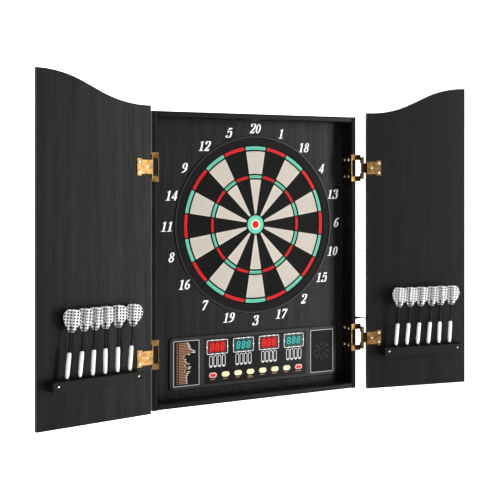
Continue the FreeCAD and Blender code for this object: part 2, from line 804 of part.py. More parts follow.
def speaker():
    """A small loudspeaker: frame, cone basket and magnet."""
    at = ("panel_across + side_window_across", "panel_up")
    frame = cylinder("speaker_radius", "speaker_flange", at[0], FASCIA_BACK, at[1], INTO_WALL)
    basket = doc.addObject("Part::Cone", "basket")
    basket.setExpression("Radius1", bound("speaker_radius - 2"))
    basket.setExpression("Radius2", bound("basket_radius"))
    basket.setExpression("Height", bound("basket_depth"))
    basket.Placement.Rotation = FreeCAD.Rotation(UP, INTO_WALL)
    place(basket, at[0], FASCIA_BACK + " + 2", at[1])
    magnet = cylinder("magnet_radius", "speaker_depth - basket_depth - 1.5", at[0],
                      FASCIA_BACK + " + basket_depth + 1.5", at[1], INTO_WALL)
    return node(fuse([frame, basket, magnet], "speaker"), "speaker")


# ---------------------------------------------------------------- hinges
def hinge_frame(side):
    """Where a side's hinge axis stands, and the turn that opens its door."""
    across = side * size(HALF_WIDTH + " + hinge_outboard")
    axis = V(across, size(FRONT + " - hinge_forward"), 0)
    angle = size("right_door_open") if side > 0 else -size("left_door_open")
    return FreeCAD.Placement(axis, FreeCAD.Rotation(UP, angle))


def span(side, near, far):
    """Bound limits of a stretch drawn for the right side, mirrored on the left."""
    return (near, far) if side > 0 else ("-(%s)" % far, "-(%s)" % near)


def cabinet_leaf(side, level):
    """The hinge's large leaf: a flange inside, two bands round the edge, arms and knuckles."""
    inner = INNER_WIDTH + " - leaf_thickness"
    outer = HALF_WIDTH + " + hinge_outboard + knuckle_radius"
    pieces = [box(*span(side, inner, INNER_WIDTH), FRONT + " - leaf_thickness", FRONT + " + leaf_reach",
                  level + " - leaf_height / 2", level + " + leaf_height / 2")]
    axis = ("%d * (%s + hinge_outboard)" % (side, HALF_WIDTH), FRONT + " - hinge_forward")
    bores = []
    for up in (1, -1):
        low, high = ("leaf_window / 2", "leaf_height / 2") if up > 0 else (
            "-leaf_height / 2", "-leaf_window / 2")
        pieces.append(box(*span(side, inner, outer), FRONT + " - leaf_thickness", FRONT,
                          level + " + " + low, level + " + " + high))
        low, high = ("knuckle_split", "knuckle_top") if up > 0 else ("-knuckle_top", "-knuckle_split")
        pieces.append(box(*span(side, outer + " - leaf_thickness", outer), axis[1], FRONT,
                          level + " + " + low, level + " + " + high))
        pieces.append(cylinder("knuckle_radius", "knuckle_top - knuckle_split", axis[0], axis[1],
                               level + " + " + low))
        bores.append(cylinder("pin_radius", "knuckle_top - knuckle_split + 2", axis[0], axis[1],
                              level + " + " + low + " - 1"))
    for depth in HINGE_SCREW_DEPTHS:
        for rise in HINGE_SCREW_RISES:
            start = "%d * (%s - 3)" % (side, INNER_WIDTH)
            bores.append(cylinder("screw_radius", "6", start, FRONT + " + " + depth,
                                  level + " + " + rise, V(side, 0, 0)))
    return cut(fuse(pieces, "leaf_plates"), fuse(bores, "leaf_holes"), "cabinet_leaf")


def cabinet_hinges():
    leaves = [cabinet_leaf(side, level) for side in (-1, 1) for level in ("hinge_up", "-hinge_up")]
    node(group(leaves, "cabinet_hinge_leaves"), "cabinet_hinge_leaves")
    pins = []
    for side in (-1, 1):
        for level in ("hinge_up", "-hinge_up"):
            across, back = "%d * (%s + hinge_outboard)" % (side, HALF_WIDTH), FRONT + " - hinge_forward"
            stem = cylinder("pin_radius", "2 * knuckle_top + 0.6", across, back,
                            level + " - knuckle_top - 0.6")
            heads = [cylinder("pin_radius + 1", "1", across, back, level + " + knuckle_top"),
                     cylinder("pin_radius + 1", "1", across, back, level + " - knuckle_top - 1")]
            pins.append(fuse([stem] + heads, "hinge_pin"))
    node(group(pins, "hinge_pins"), "hinge_pins")


def door_leaf(side, level):
    """The hinge's small leaf: plate on the door's inner face, a bend round its edge, a knuckle."""
    edge, face = "hinge_outboard", DOOR_FACE
    far = edge + " + door_leaf_reach"
    half = "(knuckle_split - knuckle_gap)"
    plates = (
        (edge + " - leaf_thickness", far, face, face + " + leaf_thickness", "door_leaf_neck / 2"),
        (far + " - door_leaf_ear_width", far, face, face + " + leaf_thickness", "door_leaf_ear / 2"),
        (edge + " - leaf_thickness", edge, "-leaf_thickness / 2", face + " + leaf_thickness", half),
        ("1", edge, "-leaf_thickness / 2", "leaf_thickness / 2", half),
    )
    pieces = [box(*span(-side, near, distant), front, back, level + " - " + tall, level + " + " + tall)
              for near, distant, front, back, tall in plates]
    pieces.append(cylinder("knuckle_radius", "2 * " + half, "0", "0", level + " - " + half))
    bores = [cylinder("pin_radius + pin_fit", "2 * knuckle_split + 2", "0", "0",
                      level + " - knuckle_split - 1")]
    for across, up in door_leaf_screws():
        bores.append(cylinder("screw_radius", "6", "%d * (%s)" % (-side, across), face + " - 2",
                              level + " + " + up, INTO_WALL))
    return cut(fuse(pieces, "leaf_plates"), fuse(bores, "leaf_holes"), "door_leaf")


def door_leaf_screws():
    across = "hinge_outboard + door_leaf_reach - door_leaf_ear_width / 2"
    return [(across, "door_leaf_screw_rise"), (across, "-door_leaf_screw_rise")]


# ---------------------------------------------------------------- doors
def door_panel(name, side):
    """A board with an ogee top that rises from the hinge to the free edge."""
    body = new_body(name + "_door_panel")
    body.Placement = hinge_frame(side)

    def across(text):
        return "%d * (hinge_outboard + %s)" % (-side, text)
    rise_run = "crown_lower_radius * sin(crown_slope)"
    foot = "crown_flat + %s" % rise_run
    head = foot + " + crown_straight"
    low = "door_top + crown_lower_radius * (1 - cos(crown_slope))"
    high = low + " + crown_straight * tan(crown_slope)"
    width = "(cabinet_width / 2 - door_gap / 2)"
    upper_radius = "(%s - (%s)) / sin(crown_slope)" % (width, head)
    peak = "%s + (%s) * (1 - cos(crown_slope))" % (high, upper_radius)
    corners = (
        (across("0"), "door_bottom"),
        (across("0"), "door_top"),
        (across("crown_flat"), "door_top", "crown_lower_radius", -side),
        (across(foot), low),
        (across(head), high, upper_radius, side),
        (across(width), peak),
        (across(width), "door_bottom"),
    )
    sketch = new_sketch(body, "XZ_Plane", "-" + DOOR_FACE)
    outline(sketch, corners)
    pad(body, sketch, "door_thickness")
    for face in (size(DOOR_FACE), size(DOOR_FACE + " - door_thickness")):
        round_edges(body, "door_rounding", lambda point, y=face: abs(point.y - y) < 0.01)
    places = []
    for level in ("hinge_up", "-hinge_up"):
        places += [("%d * (%s)" % (-side, reach), level + " + " + up) for reach, up in door_leaf_screws()]
    for step in ("-", "+"):
        places.append(("%d * (hinge_outboard + holder_middle %s holder_screw_across)" % (-side, step),
                       "holder_top - holder_height / 2"))
    holes = new_sketch(body, "XZ_Plane", "-" + DOOR_FACE)
    circles(holes, places, "screw_radius")
    pocket(body, holes, "screw_length", reverse=True)


def dart_holes():
    """Distance of each dart's hole from the door's hinge edge."""
    middle = (DARTS_PER_DOOR - 1) / 2
    return ["holder_middle + (%g) * dart_pitch" % (index - middle) for index in range(DARTS_PER_DOOR)]


def dart_holder(name, side):
    """A bar across the door with six loose holes, and two stepped holes for its long screws."""
    face = DOOR_FACE
    middle = "%d * (hinge_outboard + holder_middle)" % -side
    body = new_body(name + "_dart_holder")
    body.Placement = hinge_frame(side)
    bar = new_sketch(body, "XY_Plane", "holder_top - holder_height")
    rectangle(bar, middle + " - holder_length / 2", face, middle + " + holder_length / 2",
              face + " + holder_depth")
    pad(body, bar, "holder_height")
    far = size(face + " + holder_depth")
    round_edges(body, "1.5", lambda point: abs(point.y - far) < 0.01)
    wells = new_sketch(body, "XY_Plane", "holder_top")
    places = [("%d * (hinge_outboard + %s)" % (-side, reach), face + " + dart_standoff")
              for reach in dart_holes()]
    circles(wells, places, "holder_hole_radius")
    pocket(body, wells, "holder_height")
    screws = [("%d * (hinge_outboard + holder_middle %s holder_screw_across)" % (-side, step),
               "holder_top - holder_height / 2") for step in ("-", "+")]
    steps = (("screw_radius", "holder_depth"), ("screw_head_radius + 0.6", "holder_screw_recess"))
    for radius, depth in steps:
        holes = new_sketch(body, "XZ_Plane", "-(%s + holder_depth)" % face)
        circles(holes, screws, radius)
        pocket(body, holes, depth, reverse=True)


# ---------------------------------------------------------------- screws
def screw(length):
    """A round-headed screw with a cross recess. Its head stands on the origin and looks along +Z."""
    head, tall = size("screw_head_radius"), size("screw_head_height")
    edges = [
        Part.LineSegment(V(0, 0, 0), V(head, 0, 0)).toShape(),
        Part.Arc(V(head, 0, 0), V(head * 0.72, 0, tall * 0.72), V(0, 0, tall)).toShape(),
        Part.LineSegment(V(0, 0, tall), V(0, 0, 0)).toShape(),
    ]
    dome = Part.Face(Part.Wire(edges)).revolve(V(0, 0, 0), UP, 360)
    shank = Part.makeCylinder(size("screw_radius"), length, V(0, 0, -length), UP)
    wide, slot = size("screw_slot_width"), size("screw_head_radius") * 1.2
    cross = [Part.makeBox(slot, wide, tall, V(-slot / 2, -wide / 2, tall * 0.45)),
             Part.makeBox(wide, slot, tall, V(-wide / 2, -slot / 2, tall * 0.45))]
    return dome.fuse(shank).cut(cross)


def screws_at(places, direction, length):
    """One screw at each place, its head looking along the direction."""
    turn = FreeCAD.Rotation(UP, direction)
    made = []
    for spot in places:
        piece = screw(length)
        piece.Placement = FreeCAD.Placement(spot, turn)
        made.append(piece)
    return made


def cabinet_screws():
    """The hinge screws in the cabinet's sides and the screws that hold the target's backplate."""
    made = []
    for side in (-1, 1):
        face = side * (size(INNER_WIDTH) - size("leaf_thickness"))
        spots = [V(face, size(depth), size(level)) for depth, level in hinge_screw_places()]
        made += screws_at(spots, V(-side, 0, 0), size("screw_length + leaf_thickness - 0.5"))
    back = BACKPLATE_FRONT + size("backplate_thickness")
    spots = [spot + V(0, back, 0) for spot in target_screw_places()]
    made += screws_at(spots, INTO_WALL, size("screw_length - 0.5"))
    feature(Part.makeCompound(made), "cabinet_screws")


def door_screws(name, side):
    face = size(DOOR_FACE)
    spots = [V(-side * size(reach), face + size("leaf_thickness"), size(level + " + " + up))
             for level in ("hinge_up", "-hinge_up") for reach, up in door_leaf_screws()]
    made = screws_at(spots, INTO_WALL, size("screw_length + leaf_thickness - 0.5"))
    under_head = size("holder_depth - holder_screw_recess")
    spots = [V(-side * size("hinge_outboard + holder_middle %s holder_screw_across" % step),
               face + under_head, size("holder_top - holder_height / 2")) for step in ("-", "+")]
    made += screws_at(spots, INTO_WALL, under_head + size("screw_length - 0.5"))
    thing = feature(Part.makeCompound(made), name + "_door_screws")
    thing.Placement = hinge_frame(side)


# ---------------------------------------------------------------- darts
def turned(profile):
    """A solid of revolution about Z from (radius, height) corners that start and end on the axis."""
    points = [V(radius, 0, height) for radius, height in profile]
    return Part.Face(Part.makePolygon(points + points[:1])).revolve(V(0, 0, 0), UP, 360)


def flight(turn):
    """Four vanes with a rounded outline, slit into the end of the shaft."""
    radius, tall, thick = size("flight_radius"), size("flight_height"), size("flight_thickness")
    low = size("neck_height + barrel_length + shaft_length") - 12
    edges = [
        Part.LineSegment(V(0, 0, low), V(4.5, 0, low)).toShape(),
        Part.LineSegment(V(4.5, 0, low), V(radius * 0.93, 0, low + tall * 0.44)).toShape(),
        Part.Arc(V(radius * 0.93, 0, low + tall * 0.44), V(radius * 0.93, 0, low + tall * 0.76),
                 V(radius * 0.5, 0, low + tall * 0.96)).toShape(),
        Part.Arc(V(radius * 0.5, 0, low + tall * 0.96), V(radius * 0.25, 0, low + tall * 0.995),
                 V(0, 0, low + tall)).toShape(),
        Part.LineSegment(V(0, 0, low + tall), V(0, 0, low)).toShape(),
    ]
    vane = Part.Face(Part.Wire(edges))
    vane.translate(V(0, -thick / 2, 0))
    vane = vane.extrude(V(0, thick, 0))
    vanes = []
    for quarter in range(4):
        copy = vane.copy()
        copy.rotate(V(0, 0, 0), UP, turn + 90 * quarter)
        vanes.append(copy)
    return vanes[0].fuse(vanes[1:])


def dart(label, turn):
    """Soft tip, barrel, shaft and flight, four solids that stand on the holder's top at z = 0."""
    neck, barrel = size("neck_height"), size("neck_height + barrel_length")
    end = barrel + size("shaft_length")
    tip_r, thin, fat = size("tip_radius"), size("shaft_radius"), size("barrel_radius")
    collar, lift = size("collar_radius"), 0.75
    tip = turned(((0, -size("tip_length")), (0.5, -size("tip_length")), (tip_r, -4), (tip_r, lift),
                  (collar, lift), (collar, lift + size("collar_height")), (tip_r, lift + 2.2),
                  (tip_r, neck), (0, neck)))
    foot_r, head_r, waist = size("barrel_foot_radius"), size("barrel_head_radius"), size("shaft_foot_radius")
    barrel_solid = turned(((0, neck), (foot_r, neck), (fat, neck + 7), (fat, barrel - 5), (head_r, barrel),
                           (0, barrel)))
    shaft = turned(((0, barrel), (waist, barrel), (waist, barrel + 4), (thin, barrel + 7),
                    (thin, end), (0, end)))
    vanes = flight(turn)
    shaft = shaft.cut(vanes)
    pieces = [tip, barrel_solid] + shaft.Solids + [vanes]
    return feature(Part.makeCompound(pieces), label)


def darts(name, side):
    face = size(DOOR_FACE)
    for index, reach in enumerate(dart_holes()):
        thing = dart("%s_dart_%d" % (name, index + 1), FLIGHT_TURNS[index])
        hole = V(-side * (size("hinge_outboard") + size(reach)), face + size("dart_standoff"),
                 size("holder_top"))
        lean = FreeCAD.Rotation(V(0, 1, 0), -DART_LEANS[name][index])
        thing.Placement = hinge_frame(side) * FreeCAD.Placement(hole, lean)


# ---------------------------------------------------------------- power
def dc_jack():
    """The socket in the right side panel and its block inside."""
    at = ("-jack_inward", "jack_up")
    sleeve = cylinder("jack_radius", "board_thickness + 0.5", INNER_WIDTH + " - 0.5", at[0], at[1],
                      V(1, 0, 0))
    block = box(INNER_WIDTH + " - jack_block", INNER_WIDTH, "-jack_inward - jack_block / 2",
                "-jack_inward + jack_block / 2", "jack_up - jack_block / 2", "jack_up + jack_block / 2")
    bore = cylinder("jack_bore", "jack_depth + 1", HALF_WIDTH + " - jack_depth", at[0], at[1], V(1, 0, 0))
    return node(cut(fuse([sleeve, block], "jack_solid"), bore, "dc_jack"), "dc_jack")


def cord_plug():
    """The plug: a barrel in the socket, a ribbed grip and a tapered strain relief."""
    wall = size(HALF_WIDTH)
    grip, end = size("plug_length"), size("plug_length + relief_length")
    deep, r = -size("jack_depth") + 0.6, size("plug_radius")
    profile = [(0, deep), (size("plug_barrel_radius"), deep), (size("plug_barrel_radius"), 0),
               (r, 0), (r, grip - 3), (r - 1.2, grip), (size("relief_foot_radius"), grip),
               (size("relief_end_radius"), end), (0, end)]
    thing = feature(turned(profile), "cord_plug")
    spot = V(wall, -size("jack_inward"), size("jack_up"))
    thing.Placement = FreeCAD.Placement(spot, FreeCAD.Rotation(UP, V(1, 0, 0)))


def cord_lead():
    """The lead's tube: straight runs joined by tangent arcs, each as large as its runs allow."""
    deep = -size("jack_inward")
    points = [V(across, deep, up) for across, up in LEAD_ROUTE]
    edges, last = [], points[0]
    for before, corner, after in zip(points, points[1:], points[2:]):
        into, out = (corner - before), (after - corner)
        half_turn = into.getAngle(out) / 2
        reach = 0.45 * min(into.Length, out.Length)
        print("lead radius %.1f" % (reach / math.tan(half_turn)))
        into.normalize()
        out.normalize()
        start, end = corner - into * reach, corner + out * reach
        bend = (end - corner).normalize() + (start - corner).normalize()
        radius = reach / math.tan(half_turn)
        centre = corner + bend.normalize() * (radius / math.cos(half_turn))
        middle = centre + (corner - centre).normalize() * radius
        edges.append(Part.LineSegment(last, start).toShape())
        edges.append(Part.Arc(start, middle, end).toShape())
        last = end
    edges.append(Part.LineSegment(last, points[-1]).toShape())
    path = Part.Wire(edges)
    radius = size("cord_radius")
    ring = Part.Wire(Part.Circle(points[0], points[1] - points[0], radius).toShape())
    tube = path.makePipeShell([ring], True, True)
    expected = math.pi * radius ** 2 * path.Length
    print("lead length %.1f, volume ratio %.4f" % (path.Length, tube.Volume / expected))
    feature(tube, "cord_lead")


def cord_coil():
    """The outer shape of the tied coil: a ring with a squarish rounded section, on edge."""
    body = new_body("cord_coil")
    place(body, "%g" % COIL_CENTRE[0], "-jack_inward", "%g" % COIL_CENTRE[1])
    sketch = new_sketch(body, "XY_Plane")
    rounded_rectangle(sketch, "coil_mean_radius", "0", "coil_section", "coil_section", "2.5")
    ring = body.newObject("PartDesign::Revolution", "cord_coil_turned")
    ring.Profile = sketch
    ring.ReferenceAxis = (next(item for item in body.Origin.OriginFeatures
                               if item.Role == "Y_Axis"), [""])
    ring.Angle = 360


def power_adapter():
    """The plug-in transformer that hangs under the coil, with two flat prongs."""
    relief_length = size("adapter_relief_length")
    body_top = COIL_CENTRE[1] - size("coil_mean_radius + coil_section / 2") - relief_length
    middle, deep = COIL_CENTRE[0], -size("jack_inward")
    wide, thick, tall = (size("adapter_" + word) for word in ("width", "thickness", "height"))
    case = Part.makeBox(thick, wide, tall, V(middle - thick / 2, deep - wide / 2, body_top - tall))
    case = case.makeFillet(size("adapter_rounding"), case.Edges)
    overlap = 0.8
    relief = Part.makeCone(size("adapter_relief_foot"), size("adapter_relief_end"), relief_length + overlap,
                           V(middle, deep, body_top - overlap), UP)
    case = case.fuse(relief).removeSplitter()
    blade, flat = size("prong_width"), size("prong_thickness")
    prongs = [Part.makeBox(size("prong_length"), blade, flat,
                           V(middle + thick / 2, deep - blade / 2, body_top - tall / 2 + rise - flat / 2))
              for rise in (size("prong_spacing") / 2, -size("prong_spacing") / 2)]
    feature(Part.makeCompound([case] + prongs), "power_adapter")


# ---------------------------------------------------------------- assembly
def build():
    side_panel("left_side_panel", -1)
    side_panel("right_side_panel", 1)
    end_panel("top_panel", 1)
    end_panel("bottom_panel", -1)
    back_panel()
    fascia_board()

    spider()
    segment_groups()
    bulls()
    catch_ring()
    switch_layers()

    control_bezel()
    display_lens()
    score_displays()
    circuit_board()
    keypad_mat()
    speaker_grille()
    speaker()
    for index, middle in enumerate(button_places()):
        button(index, middle)

    cabinet_hinges()
    cabinet_screws()
    for name, side in (("left", -1), ("right", 1)):
        door_panel(name, side)
        leaves = [door_leaf(side, level) for level in ("hinge_up", "-hinge_up")]
        leaf_pair = node(group(leaves, name + "_door_hinge_leaves"), name + "_door_hinge_leaves")
        leaf_pair.Placement = hinge_frame(side)
        dart_holder(name, side)
        door_screws(name, side)
        darts(name, side)

    dc_jack()
    cord_plug()
    cord_lead()
    cord_coil()
    power_adapter()


def check_and_write():
    """Recomputes, makes sure that every object and sub-part is sound, and writes the files."""
    doc.recompute()
    for thing in doc.Objects:
        if "Invalid" in thing.State or "Error" in thing.State:
            raise RuntimeError("%s did not recompute: %s" % (thing.Label, thing.State))
    os.makedirs("parts", exist_ok=True)
    for thing in NODES:
        shape = thing.Shape
        if shape.isNull() or not shape.isValid() or not shape.Solids:
            raise RuntimeError("%s has no sound shape" % thing.Label)
        shape.exportStep("parts/%s.step" % thing.Label)
    print("%d sub-parts written" % len(NODES))


build()
check_and_write()
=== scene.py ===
"""The looks of the electronic dartboard: materials, perforated keys, printed marks, darts and lead.

Everything is in the row frame. Flat drawings are in millimetres and become metres when a piece is made.
"""
import json
import math
import random

import bmesh
import bpy
from mathutils import Matrix, Vector
from mathutils.geometry import delaunay_2d_cdt


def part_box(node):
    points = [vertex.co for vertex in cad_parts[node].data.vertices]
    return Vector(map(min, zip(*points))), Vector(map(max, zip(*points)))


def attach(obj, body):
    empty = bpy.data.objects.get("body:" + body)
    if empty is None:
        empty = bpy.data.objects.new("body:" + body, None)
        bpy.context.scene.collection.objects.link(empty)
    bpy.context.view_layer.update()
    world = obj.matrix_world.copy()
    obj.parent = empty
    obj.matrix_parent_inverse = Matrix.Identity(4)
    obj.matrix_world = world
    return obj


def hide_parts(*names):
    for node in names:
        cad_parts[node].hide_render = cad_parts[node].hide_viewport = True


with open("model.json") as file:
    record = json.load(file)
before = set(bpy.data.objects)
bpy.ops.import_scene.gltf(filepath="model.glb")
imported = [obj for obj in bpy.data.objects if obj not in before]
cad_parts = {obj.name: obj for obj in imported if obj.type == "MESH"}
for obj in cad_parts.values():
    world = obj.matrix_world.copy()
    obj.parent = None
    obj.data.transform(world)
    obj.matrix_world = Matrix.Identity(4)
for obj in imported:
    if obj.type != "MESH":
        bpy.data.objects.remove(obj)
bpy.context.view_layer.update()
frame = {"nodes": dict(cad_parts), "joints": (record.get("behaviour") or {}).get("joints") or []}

MM = 0.001
JOINTS = {joint["name"]: joint for joint in frame["joints"]}


def middle_of(node):
    low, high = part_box(node)
    return (Vector(low) + Vector(high)) / 2


TARGET = middle_of("spider")
PANEL = middle_of("control_bezel")
FASCIA_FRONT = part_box("fascia_board")[0][1]
PANEL_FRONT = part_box("control_bezel")[0][1]
LENS_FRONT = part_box("display_lens")[0][1]
SPEAKER = middle_of("speaker_grille")


# ---------------- materials
class Nodes:
    """Short calls for the node tree of one material."""

    def __init__(self, made):
        self.tree = made.node_tree
        self.shader = self.tree.nodes["Principled BSDF"]

    def add(self, kind, inputs, **properties):
        """A node with its inputs by name or number: a socket is linked and a value is set."""
        made = self.tree.nodes.new("ShaderNode" + kind)
        for name, value in properties.items():
            setattr(made, name, value)
        for name, value in inputs.items():
            if isinstance(value, bpy.types.NodeSocket):
                self.tree.links.new(value, made.inputs[name])
            else:
                made.inputs[name].default_value = value
        return made.outputs

    def position(self, stretch=(1, 1, 1)):
        place = self.add("TexCoord", {})["Object"]
        return self.add("Mapping", {"Vector": place, "Scale": stretch})["Vector"]

    def noise(self, scale, stretch=(1, 1, 1), detail=3.0):
        inputs = {"Vector": self.position(stretch), "Scale": scale, "Detail": detail}
        return self.add("TexNoise", inputs)["Fac"]

    def fit(self, value, start, end, low=0.0, high=1.0):
        """The value's stretch from start to end as one from low to high."""
        inputs = {"Value": value, "From Min": start, "From Max": end, "To Min": low, "To Max": high}
        return self.add("MapRange", inputs)["Result"]

    def maths(self, operation, first, second=0.0):
        return self.add("Math", {0: first, 1: second}, operation=operation)["Value"]

    def mix(self, share, first, second):
        """A blend of two colours, each a socket or three numbers."""
        first, second = [(*c, 1.0) if isinstance(c, tuple) else c for c in (first, second)]
        return self.add("Mix", {0: share, 6: first, 7: second}, data_type="RGBA")[2]

    def bump(self, height, distance, strength=1.0):
        inputs = {"Height": height, "Distance": distance, "Strength": strength}
        self.link(self.add("Bump", inputs)["Normal"], "Normal")

    def link(self, output, socket):
        self.tree.links.new(output, self.shader.inputs[socket])


def material(name, colour, roughness, gloss=0.5, **sockets):
    """A Principled material with what is the same all over on the shader's own sockets."""
    made = bpy.data.materials.new(name)
    made.use_nodes = True
    shader = made.node_tree.nodes["Principled BSDF"]
    shader.inputs["Base Color"].default_value = (*colour, 1.0)
    shader.inputs["Roughness"].default_value = roughness
    shader.inputs["Specular IOR Level"].default_value = gloss
    for socket, value in sockets.items():
        shader.inputs[socket.replace("_", " ")].default_value = value
    return made


def scaled(colour, factor):
    return tuple(channel * factor for channel in colour)


def stained_wood(name, grain, colour, roughness=0.36):
    """Black stain over open grain that runs along x or z: long streaks, fine pores, a satin coat."""
    made = material(name, colour, roughness, gloss=0.075)
    nodes = Nodes(made)
    long_way = (1.0, 1.0, 0.03) if grain == "z" else (0.03, 1.0, 1.0)
    pores = nodes.noise(620.0, long_way, 4.0)
    streaks = nodes.noise(75.0, long_way, 3.0)
    both = nodes.maths("ADD", nodes.maths("MULTIPLY", pores, 0.55), nodes.maths("MULTIPLY", streaks, 0.45))
    share = nodes.fit(both, 0.36, 0.64)
    nodes.link(nodes.mix(share, scaled(colour, 0.45), scaled(colour, 1.75)), "Base Color")
    nodes.link(nodes.fit(both, 0.35, 0.65, roughness + 0.08, roughness - 0.07), "Roughness")
    nodes.bump(pores, 0.0004, 0.35)
    return made


def moulded(name, colour, roughness=0.42, grain=900.0, relief=0.00005, **sockets):
    """Injection-moulded plastic: faint flow marks in the colour and a fine spark-eroded texture."""
    made = material(name, colour, roughness, **sockets)
    nodes = Nodes(made)
    flow = nodes.noise(22.0, detail=2.0)
    nodes.link(nodes.mix(flow, scaled(colour, 0.93), scaled(colour, 1.06)), "Base Color")
    texture = nodes.noise(grain, detail=2.0)
    nodes.link(nodes.fit(texture, 0.3, 0.7, roughness - 0.05, roughness + 0.07), "Roughness")
    nodes.bump(texture, relief, 0.6)
    return made


def plated(name, colour, roughness):
    """Plated metal: small ripples, a little tarnish and fine scuffs in the roughness."""
    made = material(name, colour, roughness, Metallic=1.0)
    nodes = Nodes(made)
    tarnish = nodes.fit(nodes.noise(110.0, detail=4.0), 0.36, 0.64)
    nodes.link(nodes.mix(tarnish, scaled(colour, 1.45), scaled(colour, 0.6)), "Base Color")
    scuffs = nodes.noise(1600.0, (1.0, 1.0, 0.12), 3.0)
    nodes.link(nodes.fit(scuffs, 0.3, 0.7, roughness - 0.04, roughness + 0.1), "Roughness")
    nodes.bump(nodes.noise(260.0), 0.0001, 0.25)
    return made


def printed(name, colour, roughness=0.4, glow=0.0):
    """Screen-printed ink or a lit display face, with slightly uneven cover. A glow on ink is painted light.
    """
    made = material(name, colour, roughness, 0.06, Emission_Color=(*colour, 1.0), Emission_Strength=glow)
    nodes = Nodes(made)
    cover = nodes.noise(420.0, detail=3.0)
    nodes.link(nodes.mix(cover, scaled(colour, 0.9), scaled(colour, 1.05)), "Base Color")
    return made


def hardboard(name, colour):
    """The rough side of hardboard: a woven screen mark and loose fibres."""
    made = material(name, colour, 0.8, gloss=0.2)
    nodes = Nodes(made)
    fibres = nodes.noise(350.0, (1.0, 1.0, 0.5), 5.0)
    nodes.link(nodes.mix(fibres, scaled(colour, 0.5), scaled(colour, 1.5)), "Base Color")
    waves = [nodes.add("TexWave", {"Vector": nodes.position(), "Scale": 160.0, "Distortion": 1.0},
                       bands_direction=axis)["Fac"] for axis in ("X", "Z")]
    nodes.bump(nodes.maths("MULTIPLY", *waves), 0.0003, 0.6)
    return made


def solder_mask(name, colour):
    """A circuit board: tracks that show through the mask."""
    made = material(name, colour, 0.3)
    nodes = Nodes(made)
    cells = nodes.add("TexVoronoi", {"Vector": nodes.position(), "Scale": 190.0}, distance="CHEBYCHEV",
                      feature="DISTANCE_TO_EDGE")["Distance"]
    track = nodes.fit(cells, 0.06, 0.1)
    nodes.link(nodes.mix(track, scaled(colour, 2.2), colour), "Base Color")
    nodes.bump(track, 0.00005, 0.5)
    return made


def dotted_film(name, pitch, dot):
    """White flight film with a grid of square black dots, laid out by the vane's own UV in metres."""
    white, black = (0.94, 0.94, 0.94), (0.004, 0.004, 0.004)
    made = material(name, white, 0.35)
    nodes = Nodes(made)
    place = nodes.add("UVMap", {}, uv_map="vane")["UV"]
    spread = nodes.add("SeparateXYZ", {"Vector": place})
    inside = []
    for axis in ("X", "Y"):
        cell = nodes.maths("FRACT", nodes.maths("MULTIPLY", spread[axis], 1.0 / pitch))
        aside = nodes.maths("ABSOLUTE", nodes.maths("SUBTRACT", cell, 0.5))
        inside.append(nodes.maths("LESS_THAN", aside, dot / pitch / 2))
    share = nodes.maths("MULTIPLY", *inside)
    nodes.link(nodes.mix(share, white, black), "Base Color")
    return made


STAIN = (0.0060, 0.0054, 0.0055)
DOT_PITCH, DOT_WIDTH = 5.8 * MM, 3.5 * MM

WOOD_UPRIGHT = stained_wood("wood_upright", "z", STAIN)
WOOD_LEVEL = stained_wood("wood_level", "x", STAIN)
# The fascia's stain is about 1.6 times lighter than the cabinet's: painted light that stands in for fill in
# its shaded recess.
WOOD_FASCIA_PAINTED_LIGHTER = stained_wood("wood_fascia_painted_lighter", "z", (0.0095, 0.0086, 0.0088))
BACK_BOARD = hardboard("back_board", (0.035, 0.026, 0.02))
BLACK_PLASTIC = moulded("black_plastic", (0.0085, 0.0082, 0.0085), gloss=0.18)
RING_PLASTIC = moulded("ring_plastic", (0.0040, 0.0040, 0.0042), 0.5, gloss=0.08)
# The rim beads are the catch ring's black plastic painted five times lighter: painted highlights along the
# rim.
LIP_PLASTIC_PAINTED_SHEEN = moulded("lip_plastic_painted_sheen", (0.02, 0.02, 0.021), 0.3, gloss=0.3)
# The grille's slot lips are the grille's plastic painted about nine times lighter: painted glints along the
# slots' edges.
GRILLE_LIP_PAINTED_GLINT = moulded("grille_lip", (0.035, 0.035, 0.036), 0.3, gloss=0.3)
GRILLE_PLASTIC = moulded("grille_plastic", (0.0040, 0.0040, 0.0042), 0.35, gloss=0.045)
WEB_PLASTIC = moulded("web_plastic", (0.0035, 0.0035, 0.0035), 0.45, gloss=0.05)
HOLDER_PLASTIC = moulded("holder_plastic", (0.0060, 0.0056, 0.0056), 0.4, gloss=0.08)
CREAM_PLASTIC = moulded("cream_plastic", (0.60, 0.55, 0.475), 0.5, gloss=0.3)
KEY_BLACK = moulded("key_black", (0.0035, 0.0033, 0.0033), 0.5, gloss=0.09)
RED_PLASTIC = moulded("red_plastic", (0.57, 0.008, 0.009), 0.45, gloss=0.15)
GREEN_PLASTIC = moulded("green_plastic", (0.13, 0.53, 0.375), 0.45, gloss=0.15)
RUBBER = moulded("grey_rubber", (0.05, 0.05, 0.055), 0.75, 1400.0)
FILM = moulded("switch_film", (0.42, 0.47, 0.45), 0.3, 300.0)
GLOSS_BLACK = moulded("gloss_black", (0.0040, 0.0040, 0.0044), 0.3, 60.0, 0.00001, gloss=0.085)
DARK_GLASS = moulded("display_glass", (0.006, 0.008, 0.009), 0.2, 60.0, 0.00001)
CIRCUIT = solder_mask("circuit_green", (0.01, 0.075, 0.03))
SPEAKER_METAL = plated("speaker_metal", (0.62, 0.62, 0.62), 0.45)
BRASS = plated("brass", (0.165, 0.093, 0.031), 0.33)
STEEL = plated("steel", (0.72, 0.70, 0.67), 0.25)
CREAM_CAP = moulded("cream_cap", (0.86, 0.80, 0.42), 0.25, 500.0, Coat_Weight=0.4)
PINK_CAP = moulded("pink_cap", (0.80, 0.42, 0.38), 0.25, 500.0, Coat_Weight=0.4)
